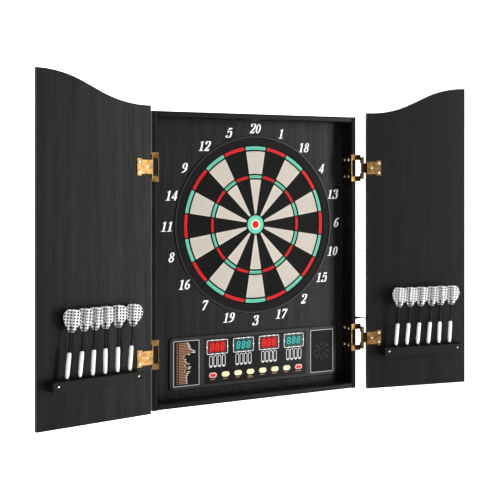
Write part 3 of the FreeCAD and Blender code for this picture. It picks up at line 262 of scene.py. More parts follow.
RED_INSERT = moulded("red_insert", (0.50, 0.012, 0.010), 0.3, 500.0, Coat_Weight=0.1, gloss=0.2)
CREAM_COLLAR = moulded("cream_collar", (0.75, 0.70, 0.50), 0.35)
# The white ink glows a little: painted light, so that numbers and lines in shade still read bright white.
WHITE_INK_PAINTED_GLOW = printed("white_ink_painted_glow", (0.80, 0.80, 0.79), 0.4, 0.18)
SILVER_INK = printed("silver_ink", (0.52, 0.51, 0.50), 0.3)
TAN_INK = printed("tan_ink", (0.32, 0.165, 0.09))
PALE_INK = printed("pale_ink", (0.62, 0.56, 0.50))
RED_FACE = printed("red_face", (0.26, 0.003, 0.004), 0.4, 0.08)
RED_DIGIT = printed("red_digit", (0.55, 0.028, 0.018), 0.4, 0.2)
TEAL_FACE = printed("teal_face", (0.006, 0.060, 0.060), 0.3, 0.1)
TEAL_DIGIT = printed("teal_digit", (0.060, 0.36, 0.33), 0.3, 0.2)
WHITE_BARREL = moulded("white_barrel", (0.84, 0.83, 0.83), 0.3, 400.0)
BLACK_NYLON = moulded("black_nylon", (0.006, 0.006, 0.006), 0.4, gloss=0.12)
DOTTED_FLIGHT = dotted_film("dotted_flight", DOT_PITCH, DOT_WIDTH)
CORD_BLACK = moulded("cord_black", (0.009, 0.009, 0.009), 0.45, gloss=0.2)
CORD_GREY = moulded("cord_grey", (0.02, 0.02, 0.021), 0.5, gloss=0.25)

BUTTONS = ("power", "game", "option", "player", "double", "bounce", "sound", "start")
NODE_MATERIALS = {
    WOOD_UPRIGHT: ("left_side_panel", "right_side_panel", "left_door_panel", "right_door_panel"),
    WOOD_LEVEL: ("top_panel", "bottom_panel"),
    WOOD_FASCIA_PAINTED_LIGHTER: ("fascia_board",),
    BACK_BOARD: ("back_panel",),
    BLACK_PLASTIC: ("control_bezel", "dc_jack", "target_backplate"),
    RING_PLASTIC: ("catch_ring",),
    WEB_PLASTIC: ("spider",),
    HOLDER_PLASTIC: ("left_dart_holder", "right_dart_holder"),
    RUBBER: ("switch_mat", "keypad_mat"),
    FILM: ("membrane_switch",),
    GLOSS_BLACK: ("display_lens",),
    GRILLE_PLASTIC: ("speaker_grille",),
    DARK_GLASS: ("score_displays",),
    CIRCUIT: ("circuit_board",),
    SPEAKER_METAL: ("speaker",),
    BRASS: ("cabinet_hinge_leaves", "hinge_pins", "left_door_hinge_leaves", "right_door_hinge_leaves"),
    STEEL: ("cabinet_screws", "left_door_screws", "right_door_screws"),
    CREAM_CAP: ["button_" + name for name in BUTTONS[1:-1]],
    PINK_CAP: ["button_" + name for name in (BUTTONS[0], BUTTONS[-1])],
    CORD_BLACK: ("cord_plug",),
}
for made, names in NODE_MATERIALS.items():
    for name in names:
        for spot in frame["nodes"][name].material_slots:
            spot.material = made


# ---------------- flat drawings
# A drawing is a list of (outline, holes). Outlines and holes are lists of (across, up) in
# millimetres, anticlockwise as the player sees them.
def ellipse(across, up, wide, tall, steps=32):
    """An ellipse by its half width and half height."""
    turns = [2 * math.pi * step / steps for step in range(steps)]
    return [(across + wide * math.cos(turn), up + tall * math.sin(turn)) for turn in turns]


def circle(across, up, radius, steps=24):
    return ellipse(across, up, radius, radius, steps)


def block(left, bottom, right, top):
    return [(left, bottom), (right, bottom), (right, top), (left, top)]


def rounded(across, up, width, height, corner, steps=6):
    """A rectangle with round corners about (across, up)."""
    points = []
    wide, tall = width / 2 - corner, height / 2 - corner
    for quarter, (east, north) in enumerate(((1, -1), (1, 1), (-1, 1), (-1, -1))):
        for step in range(steps + 1):
            turn = math.pi / 2 * (quarter - 1 + step / steps)
            points.append((across + east * wide + corner * math.cos(turn),
                           up + north * tall + corner * math.sin(turn)))
    return points


def frame_line(across, up, width, height, corner, line):
    """A line of even width round a rounded rectangle, as one outline with a hole."""
    inner = max(corner - line, 0.1)
    return (rounded(across, up, width, height, corner),
            [rounded(across, up, width - 2 * line, height - 2 * line, inner)])


def filled(drawing):
    """The points and triangles that cover a drawing, overlaps joined, and where each given point went."""
    points, faces, holes_of = [], [], []
    for outline, holes in drawing:
        holes_of.append((len(faces), range(len(faces) + 1, len(faces) + 1 + len(holes))))
        for loop in [outline, *holes]:
            faces.append(list(range(len(points), len(points) + len(loop))))
            points += [Vector(point) for point in loop]
    points, _, triangles, sources, _, owners = delaunay_2d_cdt(points, [], faces, 0, 1e-5)
    went = {given: made for made, givens in enumerate(sources) for given in givens}
    kept = []
    for triangle, owner in zip(triangles, owners):
        owner = set(owner)
        if any(solid in owner and not owner.intersection(holes) for solid, holes in holes_of):
            kept.append(triangle)
    return points, kept, went


def plate(drawing, place, front, back):
    """A closed plate from a drawing, by a function that places (across, depth, up) and two depths."""
    points, triangles, _ = filled(drawing)
    count = len(points)
    vertices = [place(across, depth, up) for depth in (front, back) for across, up in points]
    faces = [tuple(triangle) for triangle in triangles]
    sides = {(a, b) for t in faces for a, b in zip(t, t[1:] + t[:1])}
    faces += [tuple(corner + count for corner in reversed(triangle)) for triangle in triangles]
    faces += [(b, a, a + count, b + count) for a, b in sides if (b, a) not in sides]
    return vertices, faces


def slab(drawing, origin, front, back):
    """A plate that faces the player, drawn about an origin, between two depths in metres."""
    def place(across, depth, up):
        return Vector((origin.x + across * MM, depth, origin.z + up * MM))
    return plate(drawing, place, front, back)


# ---------------- pieces
def placed(name, data):
    thing = bpy.data.objects.new(name, data)
    bpy.context.collection.objects.link(thing)
    return thing


def piece(name, body, slot, made, vertices, faces, smooth=False):
    """A mesh that rides on a body and takes the given material. The slot is not used."""
    mesh = bpy.data.meshes.new(name)
    mesh.from_pydata(vertices, [], faces)
    work = bmesh.new()
    work.from_mesh(mesh)
    bmesh.ops.delete(work, geom=[v for v in work.verts if not v.link_faces], context="VERTS")
    work.to_mesh(mesh)
    work.free()
    mesh.materials.append(made)
    if smooth:
        mesh.shade_smooth()
        mesh.set_sharp_from_angle(angle=math.radians(35))
    thing = placed(name, mesh)
    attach(thing, body)
    return thing


def gathered(parts):
    """Several (vertices, faces) as one."""
    vertices, faces = [], []
    for more, their_faces in parts:
        start = len(vertices)
        vertices += more
        faces += [tuple(corner + start for corner in face) for face in their_faces]
    return vertices, faces


def moved(part, matrix):
    vertices, faces = part
    return [matrix @ vertex for vertex in vertices], faces


def lofted(rings):
    """A closed solid through rings of as many points, each anticlockwise seen from the last one."""
    count = len(rings[0])
    vertices = [point for ring in rings for point in ring]
    faces = []
    for near in range(0, len(vertices) - count, count):
        for step in range(count):
            after = near + (step + 1) % count
            faces.append((near + step, after, after + count, near + step + count))
    faces.append(tuple(reversed(range(count))))
    faces.append(tuple(range(len(vertices) - count, len(vertices))))
    return vertices, faces


def turned(profile, steps=28):
    """A solid of revolution about Z from (radius, height) in millimetres, from axis to axis."""
    vertices, faces, rings = [], [], []
    for radius, height in profile:
        rings.append(len(vertices))
        count = steps if radius > 0 else 1
        for step in range(count):
            turn = 2 * math.pi * step / steps
            vertices.append(Vector((radius * math.cos(turn), radius * math.sin(turn), height)) * MM)
    for (low, high), (below, above) in zip(zip(rings, rings[1:]), zip(profile, profile[1:])):
        for step in range(steps):
            after = (step + 1) % steps
            if below[0] == 0:
                faces.append((low, high + after, high + step))
            elif above[0] == 0:
                faces.append((low + step, low + after, high))
            else:
                faces.append((low + step, low + after, high + after, high + step))
    return vertices, faces


# ---------------- target keys
SECTORS = 20
HALF_SECTOR = math.pi / SECTORS
WALL_INSET = 1.5
BEVEL = 0.45
HOLE_RADIUS = 1.42
HOLE_FLOOR_RADIUS = 1.05
HOLE_DEPTH = 3.6
HOLE_PITCH = 3.9
HOLE_SIDES = 8
HOLE_MARGIN = 0.45
HOLE_ROW = HOLE_PITCH * 0.866
ARC_STEPS = 10
KEY_RINGS = {
    "double": (161.9, 172.1),
    "outer": (109.4, 161.4),
    "triple": (99.9, 109.0),
    "inner": (21.5, 99.5),
}


def on_ring(radius, turn):
    """A point of the target, its turn in radians clockwise from the top."""
    return radius * math.sin(turn), radius * math.cos(turn)


def sector_outline(inner, outer, inset):
    """The top sector's outline between two radii, its walls set in from the web's centre lines."""
    low, high = inner + inset, outer - inset
    points = []
    for radius, way in ((low, 1), (high, -1)):
        half = HALF_SECTOR - math.asin(inset / radius)
        for step in range(ARC_STEPS + 1):
            points.append(on_ring(radius, way * half * (2 * step / ARC_STEPS - 1)))
    return points


def sector_holes(inner, outer):
    """Centres of a key's holes: rows along the arcs, every other row shifted by half a pitch."""
    margin = WALL_INSET + BEVEL + HOLE_MARGIN + HOLE_RADIUS
    low, high = inner + margin, outer - margin
    rows = 1 + int((high - low) / HOLE_ROW)
    spare = (high - low) - (rows - 1) * HOLE_ROW
    centres = []
    for row in range(rows):
        radius = low + spare / 2 + row * HOLE_ROW
        reach = (HALF_SECTOR - math.asin(margin / radius)) * radius
        shift = 0.5 * (row % 2)
        limit = int(reach / HOLE_PITCH) + 1
        for step in range(-limit, limit + 1):
            along = (step + shift) * HOLE_PITCH
            if abs(along) <= reach:
                centres.append(on_ring(radius, along / radius))
    return centres


def perforated(rim, face, centres, back):
    """A key in millimetres, y forwards to back: bevelled front, blind tapered holes, closed behind."""
    holes = [circle(across, up, HOLE_RADIUS, HOLE_SIDES) for across, up in centres]
    points, triangles, went = filled([(face, holes)])
    vertices = [Vector((across, 0.0, up)) for across, up in points]
    faces = [tuple(triangle) for triangle in triangles]
    count, start = len(rim), len(vertices)
    for depth in (BEVEL, back):
        vertices += [Vector((across, depth, up)) for across, up in rim]
    front = [went[step] for step in range(count)]
    for step in range(count):
        after = (step + 1) % count
        faces.append((front[after], front[step], start + step, start + after))
        faces.append((start + after, start + step, start + count + step, start + count + after))
    faces.append(tuple(reversed(range(start + count, start + 2 * count))))
    for index, (across, up) in enumerate(centres):
        first = count + index * HOLE_SIDES
        top = [went[first + step] for step in range(HOLE_SIDES)]
        floor = len(vertices)
        vertices += [Vector((x, HOLE_DEPTH, z)) for x, z in
                     circle(across, up, HOLE_FLOOR_RADIUS, HOLE_SIDES)]
        for step in range(HOLE_SIDES):
            after = (step + 1) % HOLE_SIDES
            faces.append((top[step], top[after], floor + after, floor + step))
        faces.append(tuple(range(floor, floor + HOLE_SIDES)))
    return vertices, faces


def on_target(depth):
    """The matrix from target millimetres, with y from a depth in metres, to the row frame."""
    return Matrix.Translation((TARGET.x, depth, TARGET.z)) @ Matrix.Scale(MM, 4)


def target_keys():
    """All the keys, one piece for each colour, from one drawn key for each ring."""
    front, back = [corner[1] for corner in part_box("cream_segments")]
    drawn = {name: perforated(sector_outline(*radii, WALL_INSET), sector_outline(*radii, WALL_INSET + BEVEL),
                              sector_holes(*radii), (back - front) / MM) for name, radii in KEY_RINGS.items()}
    keys = {"cream": [], "black": [], "green": [], "red": []}
    for sector in range(SECTORS):
        matrix = on_target(front) @ Matrix.Rotation(2 * HALF_SECTOR * sector, 4, "Y")
        single, ring = ("cream", "green") if sector % 2 == 0 else ("black", "red")
        for name, part in drawn.items():
            colour = ring if name in ("double", "triple") else single
            keys[colour].append(moved(part, matrix))
    finishes = {"cream": ("cream_plastic", CREAM_PLASTIC), "black": ("key_black", KEY_BLACK),
                "green": ("green_plastic", GREEN_PLASTIC), "red": ("red_plastic", RED_PLASTIC)}
    for colour, (slot, made) in finishes.items():
        thing = piece(colour + "_perforated_keys", colour + "_keys", slot, made, *gathered(keys[colour]))
        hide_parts(colour + "_segments")


BULL_BORE, BULL_RADIUS = 8.45, 20.25
BULL_ROWS = (12.9, 15.6, 18.0)
BULL_HOLE_RADIUS = 0.8 * HOLE_RADIUS
COLLAR_RADIUS, COLLAR_PROUD, COLLAR_SUNK = 10.7, 0.35, 0.5
CENTRE_RADIUS, STEM_RADIUS, STEM_SUNK = 7.6, 8.1, 0.5
CENTRE_ROW = 3.3
BAND_RADII = (175.6, 186.7)
BAND_ROWS = (177.4, 180.0, 182.6, 185.2)
BAND_PITCH, BAND_HOLE_RADIUS = 3.1, 0.95
BAND_DEPTH, BAND_PROUD = 1.0, 0.6
BEAD_RADII = (191.2, 192.4)
BEAD_DEPTH, BEAD_WIDTH, BEAD_PROUD = 2.0, 0.7, 0.35
SUNK = 0.05 * MM
RIM_STEPS = 240


def ring_rows(radii, pitch):
    """Points evenly round each radius, every other row shifted by half a step."""
    points = []
    for row, radius in enumerate(radii):
        count = int(2 * math.pi * radius / pitch)
        turns = [2 * math.pi * (step + 0.5 * (row % 2)) / count for step in range(count)]
        points += [on_ring(radius, turn) for turn in turns]
    return points


def bull_keys():
    """The round keys: a perforated green ring with a cream collar, and a red centre."""
    front, back = [corner[1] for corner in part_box("outer_bull")]
    holes = [circle(*centre, BULL_HOLE_RADIUS, HOLE_SIDES) for centre in ring_rows(BULL_ROWS, HOLE_PITCH)]
    bore = circle(0, 0, BULL_BORE, 40)
    outline = circle(0, 0, BULL_RADIUS - BEVEL, 64)
    ring = slab([(outline, [bore, *holes])], TARGET, front, front + HOLE_DEPTH * MM)
    base = slab([(circle(0, 0, BULL_RADIUS, 64), [bore])], TARGET, front + BEVEL * MM, back)
    green = piece("outer_bull_key", "outer_bull", "green_plastic", GREEN_PLASTIC, *gathered([ring, base]))
    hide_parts("outer_bull")
    collar = slab([(circle(0, 0, COLLAR_RADIUS, 48), [circle(0, 0, BULL_BORE, 48)])],
                  TARGET, front - COLLAR_PROUD * MM, front + COLLAR_SUNK * MM)
    piece("bull_collar", "outer_bull", "cream_plastic", CREAM_COLLAR, *collar)

    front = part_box("inner_bull")[0][1]
    centres = [(0, 0)] + [on_ring(CENTRE_ROW, math.pi / 3 * step) for step in range(6)]
    holes = [circle(*centre, BULL_HOLE_RADIUS, HOLE_SIDES) for centre in centres]
    cap = slab([(circle(0, 0, CENTRE_RADIUS, 40), holes)], TARGET, front, front + HOLE_DEPTH * MM)
    stem = slab([(circle(0, 0, STEM_RADIUS, 40), [])], TARGET, front + STEM_SUNK * MM, back)
    red = piece("inner_bull_key", "inner_bull", "red_plastic", RED_PLASTIC, *gathered([cap, stem]))
    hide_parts("inner_bull")


def catch_ring_mesh():
    """The catch ring's dimpled band, a thin ring with rows of holes, and the two beads on its rim, their
    lighter colour a painted highlight.
    """
    front, lip = FASCIA_FRONT - BAND_DEPTH * MM, FASCIA_FRONT - BEAD_DEPTH * MM
    holes = [circle(*centre, BAND_HOLE_RADIUS, 6) for centre in ring_rows(BAND_ROWS, BAND_PITCH)]
    inner, outer = [circle(0, 0, radius, RIM_STEPS) for radius in BAND_RADII]
    ring = slab([(outer, [inner, *holes])], TARGET, front - BAND_PROUD * MM, front + SUNK)
    piece("catch_ring_band", "cabinet", "black_plastic", RING_PLASTIC, *ring)
    beads = [slab([(circle(0, 0, radius, RIM_STEPS), [circle(0, 0, radius - BEAD_WIDTH, RIM_STEPS)])],
                  TARGET, lip - BEAD_PROUD * MM, lip + SUNK) for radius in BEAD_RADII]
    piece("catch_ring_beads", "cabinet", "black_plastic", LIP_PLASTIC_PAINTED_SHEEN, *gathered(beads))


# ---------------- numbers
NUMBER_ORDER = (20, 1, 18, 4, 13, 6, 10, 15, 2, 17, 3, 19, 7, 16, 8, 11, 14, 9, 12, 5)
NUMBER_RADIUS = 209.4
NUMBER_HEIGHT = 20.5
NUMBER_LEAN = 0.24
DIGIT_WIDTH, DIGIT_ADVANCE = 0.6, 0.66
BALL_RADIUS = 0.078
INK = 0.2 * MM


def eased(points, rounds=3):
    """A polyline with its corners cut again and again, its two ends kept."""
    for _ in range(rounds):
        cut = [points[0]]
        for (x0, y0), (x1, y1) in zip(points, points[1:]):
            cut += [(0.75 * x0 + 0.25 * x1, 0.75 * y0 + 0.25 * y1),
                    (0.25 * x0 + 0.75 * x1, 0.25 * y0 + 0.75 * y1)]
        points = cut + [points[-1]]
    return points


def pen(points, thick=0.18, thin=0.065):
    """A broad pen's stroke: wide where it runs up or down and narrow where it runs across."""
    path = eased(points)
    left, right = [], []
    for index, (x, y) in enumerate(path):
        before, after = path[max(index - 1, 0)], path[min(index + 1, len(path) - 1)]
        dx, dy = after[0] - before[0], after[1] - before[1]
        length = math.hypot(dx, dy)
        half = (thin + (thick - thin) * abs(dy) / length) / 2
        left.append((x - dy / length * half, y + dx / length * half))
        right.append((x + dy / length * half, y - dx / length * half))
    return right + left[::-1], []


def ring_shape(up, wide, tall, counter_wide, counter_tall, across=0.30):
    """A bowl of a figure with its counter, both ellipses by half width and half height."""
    return ellipse(across, up, wide, tall), [ellipse(across, up, counter_wide, counter_tall)]


def ball(across, up):
    """The round end of a figure's stroke."""
    return circle(across, up, BALL_RADIUS), []


SIX = [
    ring_shape(0.30, 0.28, 0.30, 0.115, 0.245),
    pen([(0.56, 0.965), (0.30, 0.93), (0.10, 0.68), (0.105, 0.34)]),
]
# Each digit is drawn 1 high, with a stress and short serifs like bold old-style figures.
DIGITS = {
    "0": [ring_shape(0.5, 0.29, 0.5, 0.115, 0.435)],
    "1": [([(0.22, 0.0), (0.40, 0.0), (0.40, 1.0), (0.34, 1.0), (0.08, 0.87), (0.08, 0.81),
            (0.22, 0.85)], []),
          (block(0.06, 0.0, 0.56, 0.06), [])],
    "2": [pen([(0.10, 0.74), (0.09, 0.96), (0.30, 0.985), (0.52, 0.97), (0.53, 0.70), (0.44, 0.48),
               (0.10, 0.08)]), ball(0.14, 0.755),
          ([(0.04, 0.0), (0.53, 0.0), (0.61, 0.23), (0.56, 0.23), (0.49, 0.15), (0.04, 0.15)], [])],
    "3": [pen([(0.10, 0.78), (0.12, 0.97), (0.30, 0.985), (0.50, 0.97), (0.50, 0.74), (0.46, 0.55),
               (0.22, 0.535)]), ball(0.14, 0.80), ball(0.13, 0.19),
          pen([(0.22, 0.535), (0.56, 0.53), (0.57, 0.27), (0.54, 0.03), (0.28, 0.02), (0.09, 0.03),
               (0.07, 0.20)])],
    "4": [(block(0.34, 0.0, 0.51, 1.0), []), (block(0.0, 0.22, 0.61, 0.345), []),
          ([(0.0, 0.30), (0.09, 0.30), (0.43, 0.90), (0.43, 1.0), (0.40, 1.0)], [])],
    "5": [([(0.18, 0.84), (0.52, 0.84), (0.58, 1.0), (0.19, 1.0)], []),
          ([(0.10, 0.50), (0.16, 0.50), (0.24, 1.0), (0.18, 1.0)], []),
          pen([(0.12, 0.52), (0.30, 0.66), (0.56, 0.62), (0.56, 0.32), (0.53, 0.03), (0.28, 0.02),
               (0.09, 0.03), (0.07, 0.18)]), ball(0.13, 0.17)],
    "6": SIX,
    "7": [([(0.03, 0.72), (0.07, 0.72), (0.13, 0.84), (0.62, 0.84), (0.62, 1.0), (0.06, 1.0)], []),
          ([(0.14, 0.0), (0.32, 0.0), (0.62, 0.87), (0.62, 0.95), (0.47, 0.87)], [])],
    "8": [ring_shape(0.27, 0.285, 0.27, 0.12, 0.20), ring_shape(0.755, 0.24, 0.245, 0.105, 0.185)],
    "9": [([(DIGIT_WIDTH - x, 1.0 - y) for x, y in outline],
           [[(DIGIT_WIDTH - x, 1.0 - y) for x, y in hole] for hole in holes]) for outline, holes in SIX],
}


def lettered(text, across, up, height, lean):
    """A number's drawing in leaning figures, centred on (across, up)."""
    start = -DIGIT_ADVANCE * len(text) / 2 + (DIGIT_ADVANCE - DIGIT_WIDTH) / 2

    def put(points, shift):
        return [(across + (x + shift + lean * (y - 0.5)) * height, up + (y - 0.5) * height)
                for x, y in points]
    drawing = []
    for index, digit in enumerate(text):
        shift = start + DIGIT_ADVANCE * index
        for outline, holes in DIGITS[digit]:
            drawing.append((put(outline, shift), [put(hole, shift) for hole in holes]))
    return drawing


def sector_numbers():
    """The twenty numbers round the target, printed on the fascia."""
    parts = []
    for sector, number in enumerate(NUMBER_ORDER):
        across, up = on_ring(NUMBER_RADIUS, 2 * HALF_SECTOR * sector)
        drawing = lettered(str(number), across, up, NUMBER_HEIGHT, NUMBER_LEAN)
        parts.append(slab(drawing, TARGET, FASCIA_FRONT - INK, FASCIA_FRONT))
    piece("sector_numbers", "cabinet", "cream_plastic", WHITE_INK_PAINTED_GLOW, *gathered(parts))


# ---------------- control panel
DISPLAY_PITCH = 63.0
DISPLAY_UP = 29.0
DISPLAYS = (("red", RED_FACE, RED_DIGIT), ("teal", TEAL_FACE, TEAL_DIGIT)) * 2
DISPLAY_FACE = (39.0, 22.5, 0.8)
FACE_DEPTH, FACE_THICK, LIT_PROUD = 0.6, 0.25, 0.4
DISPLAY_FRAME = (50.0, 30.5, 2.6, 0.95)
FIGURE_PITCH, FIGURE_WIDE, FIGURE_TALL = 12.3, 6.6, 13.6
SEGMENT_LINE, SEGMENT_GAP = 2.4, 0.35
LAMP_RADIUS = 1.5
LAMP_SPOTS = [(across, up) for up in (14.7, -14.7) for across in (-12, 0, 12)] + [(-24.5, 0), (24.5, 0)]
COUNTER_PITCH, COUNTER_UP = 10.2, -1.4
COUNTER_LINE = (7.8, 25.0, 3.8, 0.85)
COUNTER_RING_UP, COUNTER_RING = -12.0, (2.2, 1.2)
PRINT = 0.12 * MM
BUTTON_PITCH = 30.26
LABEL_UP, LABEL_ROW, LABEL_TALL = -39.7, 3.1, 2.0
LABEL_WIDTHS = ((11.5,), (9.5,), (10.0,), (11.0, 14.0), (10.5,), (13.0,), (9.5,), (15.0,))
DASH_LENGTHS, SHORTEST_DASH, DASH_GAP = (1.2, 3.4), 0.5, 0.45
INLAY, INLAY_PROUD = (13.0, 6.4, 3.1), 0.35
MARK, MARK_PROUD = (5.0, 1.3, 0.6), 0.2
CAP_SUNK = 0.8
CARD, CARD_DEPTH, CARD_THICK = (56.4, 92.4, 0.6), 0.8, 0.3
CARD_TOP, CARD_ROW, CARD_DASH = 42.0, 3.36, 2.1
CARD_ROWS = (22, 25, 26, 26, 30, 38, 37, 25, 13, 12, 16, 15, 18, 24, 15, 27, 25, 14, 25, 22, 20, 18, 19,
             18, 19, 20)
CARD_TAN, CARD_PALE = 0.8, 0.2
CARD_NUMBER, CARD_NUMBER_TALL = 2.6, 1.8
CARD_NUMBER_LEFT, CARD_TAN_LEFT, CARD_PALE_LEFT = -22.0, -17.0, -16.4
TRIM, TRIM_PROUD = (59.6, 95.6, 1.2, 1.1), 0.25
WINDOWS = {"card": 2 * PANEL.x - SPEAKER.x, "speaker": SPEAKER.x}
GRILLE_RAYS = 8
GRILLE_SLOTS = (5.5, 10.5, 15.5)
SLOT_SPREAD, SLOT_SLANT = 0.26, 0.8
SLOT_WIDTH, SLOT_GAP = 1.5, 0.35
LIP_WIDTH, LIP_HEIGHT = 0.9, 0.5


def seven_segments(across, up, width, height, lean=0.12):
    """The bars of a figure eight on a display, cut to points where they meet."""
    half, tall, line = width / 2, height / 2, SEGMENT_LINE / 2

    def bar(x0, y0, x1, y1):
        length = math.hypot(x1 - x0, y1 - y0)
        ux, uy = (x1 - x0) / length, (y1 - y0) / length
        (ax, ay), (bx, by) = [(x + way * ux * SEGMENT_GAP, y + way * uy * SEGMENT_GAP)
                              for x, y, way in ((x0, y0, 1), (x1, y1, -1))]
        near, far = (ax + ux * line, ay + uy * line), (bx - ux * line, by - uy * line)
        points = [(ax, ay), (near[0] + uy * line, near[1] - ux * line),
                  (far[0] + uy * line, far[1] - ux * line), (bx, by),
                  (far[0] - uy * line, far[1] + ux * line), (near[0] - uy * line, near[1] + ux * line)]
        return [(across + x + lean * y, up + y) for x, y in points], []
    level = [bar(-half, y, half, y) for y in (-tall, 0.0, tall)]
    upright = [bar(x, y, x, y + tall) for x in (-half, half) for y in (-tall, 0.0)]
    return level + upright


def display_faces():
    """Each display's coloured face and three lit figures, behind the front of the lens."""
    back = LENS_FRONT + FACE_DEPTH * MM
    front = back - FACE_THICK * MM
    for index, (name, face, digit) in enumerate(DISPLAYS):
        across = (index - 1.5) * DISPLAY_PITCH
        label = "display_%d_" % (index + 1)
        plane = slab([(rounded(across, DISPLAY_UP, *DISPLAY_FACE), [])], PANEL, front, back)
        piece(label + name + "_face", "cabinet", "display_glass", face, *plane)
        figures = []
        for step in (-1, 0, 1):
            figures += seven_segments(across + FIGURE_PITCH * step, DISPLAY_UP, FIGURE_WIDE, FIGURE_TALL)
        lit = slab(figures, PANEL, back - LIT_PROUD * MM, front)
        piece(label + "figures", "cabinet", "display_glass", digit, *lit)


def panel_print():
    """White lines on the lens: a frame with lamp dots and four dart outlines for each display."""
    drawings = []
    for index in range(len(DISPLAYS)):
        across = (index - 1.5) * DISPLAY_PITCH
        drawings.append([frame_line(across, DISPLAY_UP, *DISPLAY_FRAME)]
                        + [(circle(across + x, DISPLAY_UP + y, LAMP_RADIUS, 16), []) for x, y in LAMP_SPOTS])
        for step in (-1.5, -0.5, 0.5, 1.5):
            middle = across + COUNTER_PITCH * step
            outer, inner = [circle(middle, COUNTER_RING_UP, radius, 20) for radius in COUNTER_RING]
            drawings.append([frame_line(middle, COUNTER_UP, *COUNTER_LINE), (outer, [inner])])
    parts = [slab(drawing, PANEL, LENS_FRONT - PRINT, LENS_FRONT) for drawing in drawings]
    piece("display_outlines", "cabinet", "cream_plastic", WHITE_INK_PAINTED_GLOW, *gathered(parts))


def dashes(chance, left, up, width, height):
    """A row of short dashes that fills a width, as a stand-in for a printed word."""
    drawing, across = [], left
    while across < left + width - SHORTEST_DASH:
        long = min(chance.uniform(*DASH_LENGTHS), left + width - across)
        drawing.append((block(across, up - height / 2, across + long, up + height / 2), []))
        across += long + DASH_GAP
    return drawing


def button_labels():
    """A short row of dashes under each button, two rows under the fourth."""
    chance = random.Random(4)
    drawing = []
    for index, rows in enumerate(LABEL_WIDTHS):
        across = (index - 3.5) * BUTTON_PITCH
        for row, width in enumerate(rows):
            drawing += dashes(chance, across - width / 2, LABEL_UP - LABEL_ROW * row, width, LABEL_TALL)
    marks = slab(drawing, PANEL, LENS_FRONT - PRINT, LENS_FRONT)
    piece("button_labels", "cabinet", "cream_plastic", TAN_INK, *marks)


def button_details():
    """A small raised dash on each cream cap, and a red inlay in the two end caps."""
    for name in BUTTONS:
        node = "button_" + name
        if name in (BUTTONS[0], BUTTONS[-1]):
            word, shape, proud, slot, made = "inlay", INLAY, INLAY_PROUD, "red_key", RED_INSERT
        else:
            word, shape, proud, slot, made = "mark", MARK, MARK_PROUD, "cream_key", CREAM_CAP
        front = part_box(node)[0][1]
        detail = slab([(rounded(0.0, 0.0, *shape), [])], middle_of(node), front - proud * MM,
                      front + CAP_SUNK * MM)
        piece("%s_button_%s" % (name, word), node, slot, made, *detail)


def game_card():
    """The printed list in the left window: rows of dashes that stand for words, and a card."""
    chance = random.Random(11)
    back = PANEL_FRONT + CARD_DEPTH * MM
    front = back - CARD_THICK * MM
    centre = Vector((WINDOWS["card"], 0.0, PANEL.z))
    card = slab([(rounded(0.0, 0.0, *CARD), [])], centre, front, back)
    piece("game_card", "cabinet", "gloss_black", GLOSS_BLACK, *card)
    tan, pale = [], []
    for row, length in enumerate(CARD_ROWS):
        up = CARD_TOP - CARD_ROW * row
        tan += dashes(chance, CARD_NUMBER_LEFT, up, CARD_NUMBER, CARD_NUMBER_TALL)
        tan += dashes(chance, CARD_TAN_LEFT, up, length * CARD_TAN, CARD_DASH)
        pale += dashes(chance, CARD_PALE_LEFT + length * CARD_TAN, up, length * CARD_PALE, CARD_DASH)
    for word, drawing, made in (("tan", tan, TAN_INK), ("pale", pale, PALE_INK)):
        rows = slab(drawing, centre, front - PRINT, front)
        piece("game_card_%s_rows" % word, "cabinet", "cream_plastic", made, *rows)


def window_trims():
    """Silver lines round the card's window and the speaker's."""
    for name, middle in WINDOWS.items():
        centre = Vector((middle, 0.0, PANEL.z))
        line = slab([frame_line(0.0, 0.0, *TRIM)], centre, PANEL_FRONT - TRIM_PROUD * MM, PANEL_FRONT)
        piece(name + "_window_trim", "cabinet", "steel", SILVER_INK, *line)


def grille_lips():
    """A raised lip along the outer edge of each slot of the speaker's star, lighter than the grille as a
    painted glint.
    """
    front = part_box("speaker_grille")[0][1]
    drawing = []
    for ray in range(GRILLE_RAYS):
        turn = Matrix.Rotation(2 * math.pi * ray / GRILLE_RAYS, 2)
        for near in GRILLE_SLOTS:
            wide, low = near * SLOT_SPREAD, near + SLOT_WIDTH
            for side in (1, -1):
                inner, outer = SLOT_GAP * side, wide * side
                rise = low + wide * SLOT_SLANT
                corners = [(inner, low), (outer, rise), (outer, rise + LIP_WIDTH), (inner, low + LIP_WIDTH)]
                drawing.append(([tuple(turn @ Vector(corner)) for corner in corners[::side]], []))
    lips = slab(drawing, SPEAKER, front - LIP_HEIGHT * MM, front)
    piece("speaker_grille_lips", "cabinet", "black_plastic", GRILLE_LIP_PAINTED_GLINT, *lips)


# ---------------- doors
SIDES = {"left": -1, "right": 1}
HINGE_EDGE = 7.45
DOOR_FACE = 10.7
HINGE_UP = 191.0
LEAF_THICKNESS = 1.5
BOSS_REACH = 9.5
BOSS_RADIUS = 2.0
BOSS_HEIGHT, BOSS_SUNK = 1.0, 0.6


def door_frame(name):
    """The matrix from a door drawn shut about its hinge axis, in millimetres, to where it stands."""
    joint = JOINTS[name + "_door_hinge"]
    turn = SIDES[name] * math.radians(joint["range_deg"][1])
    return Matrix.Translation(joint["pos_m"]) @ Matrix.Rotation(turn, 4, "Z") @ Matrix.Scale(MM, 4)


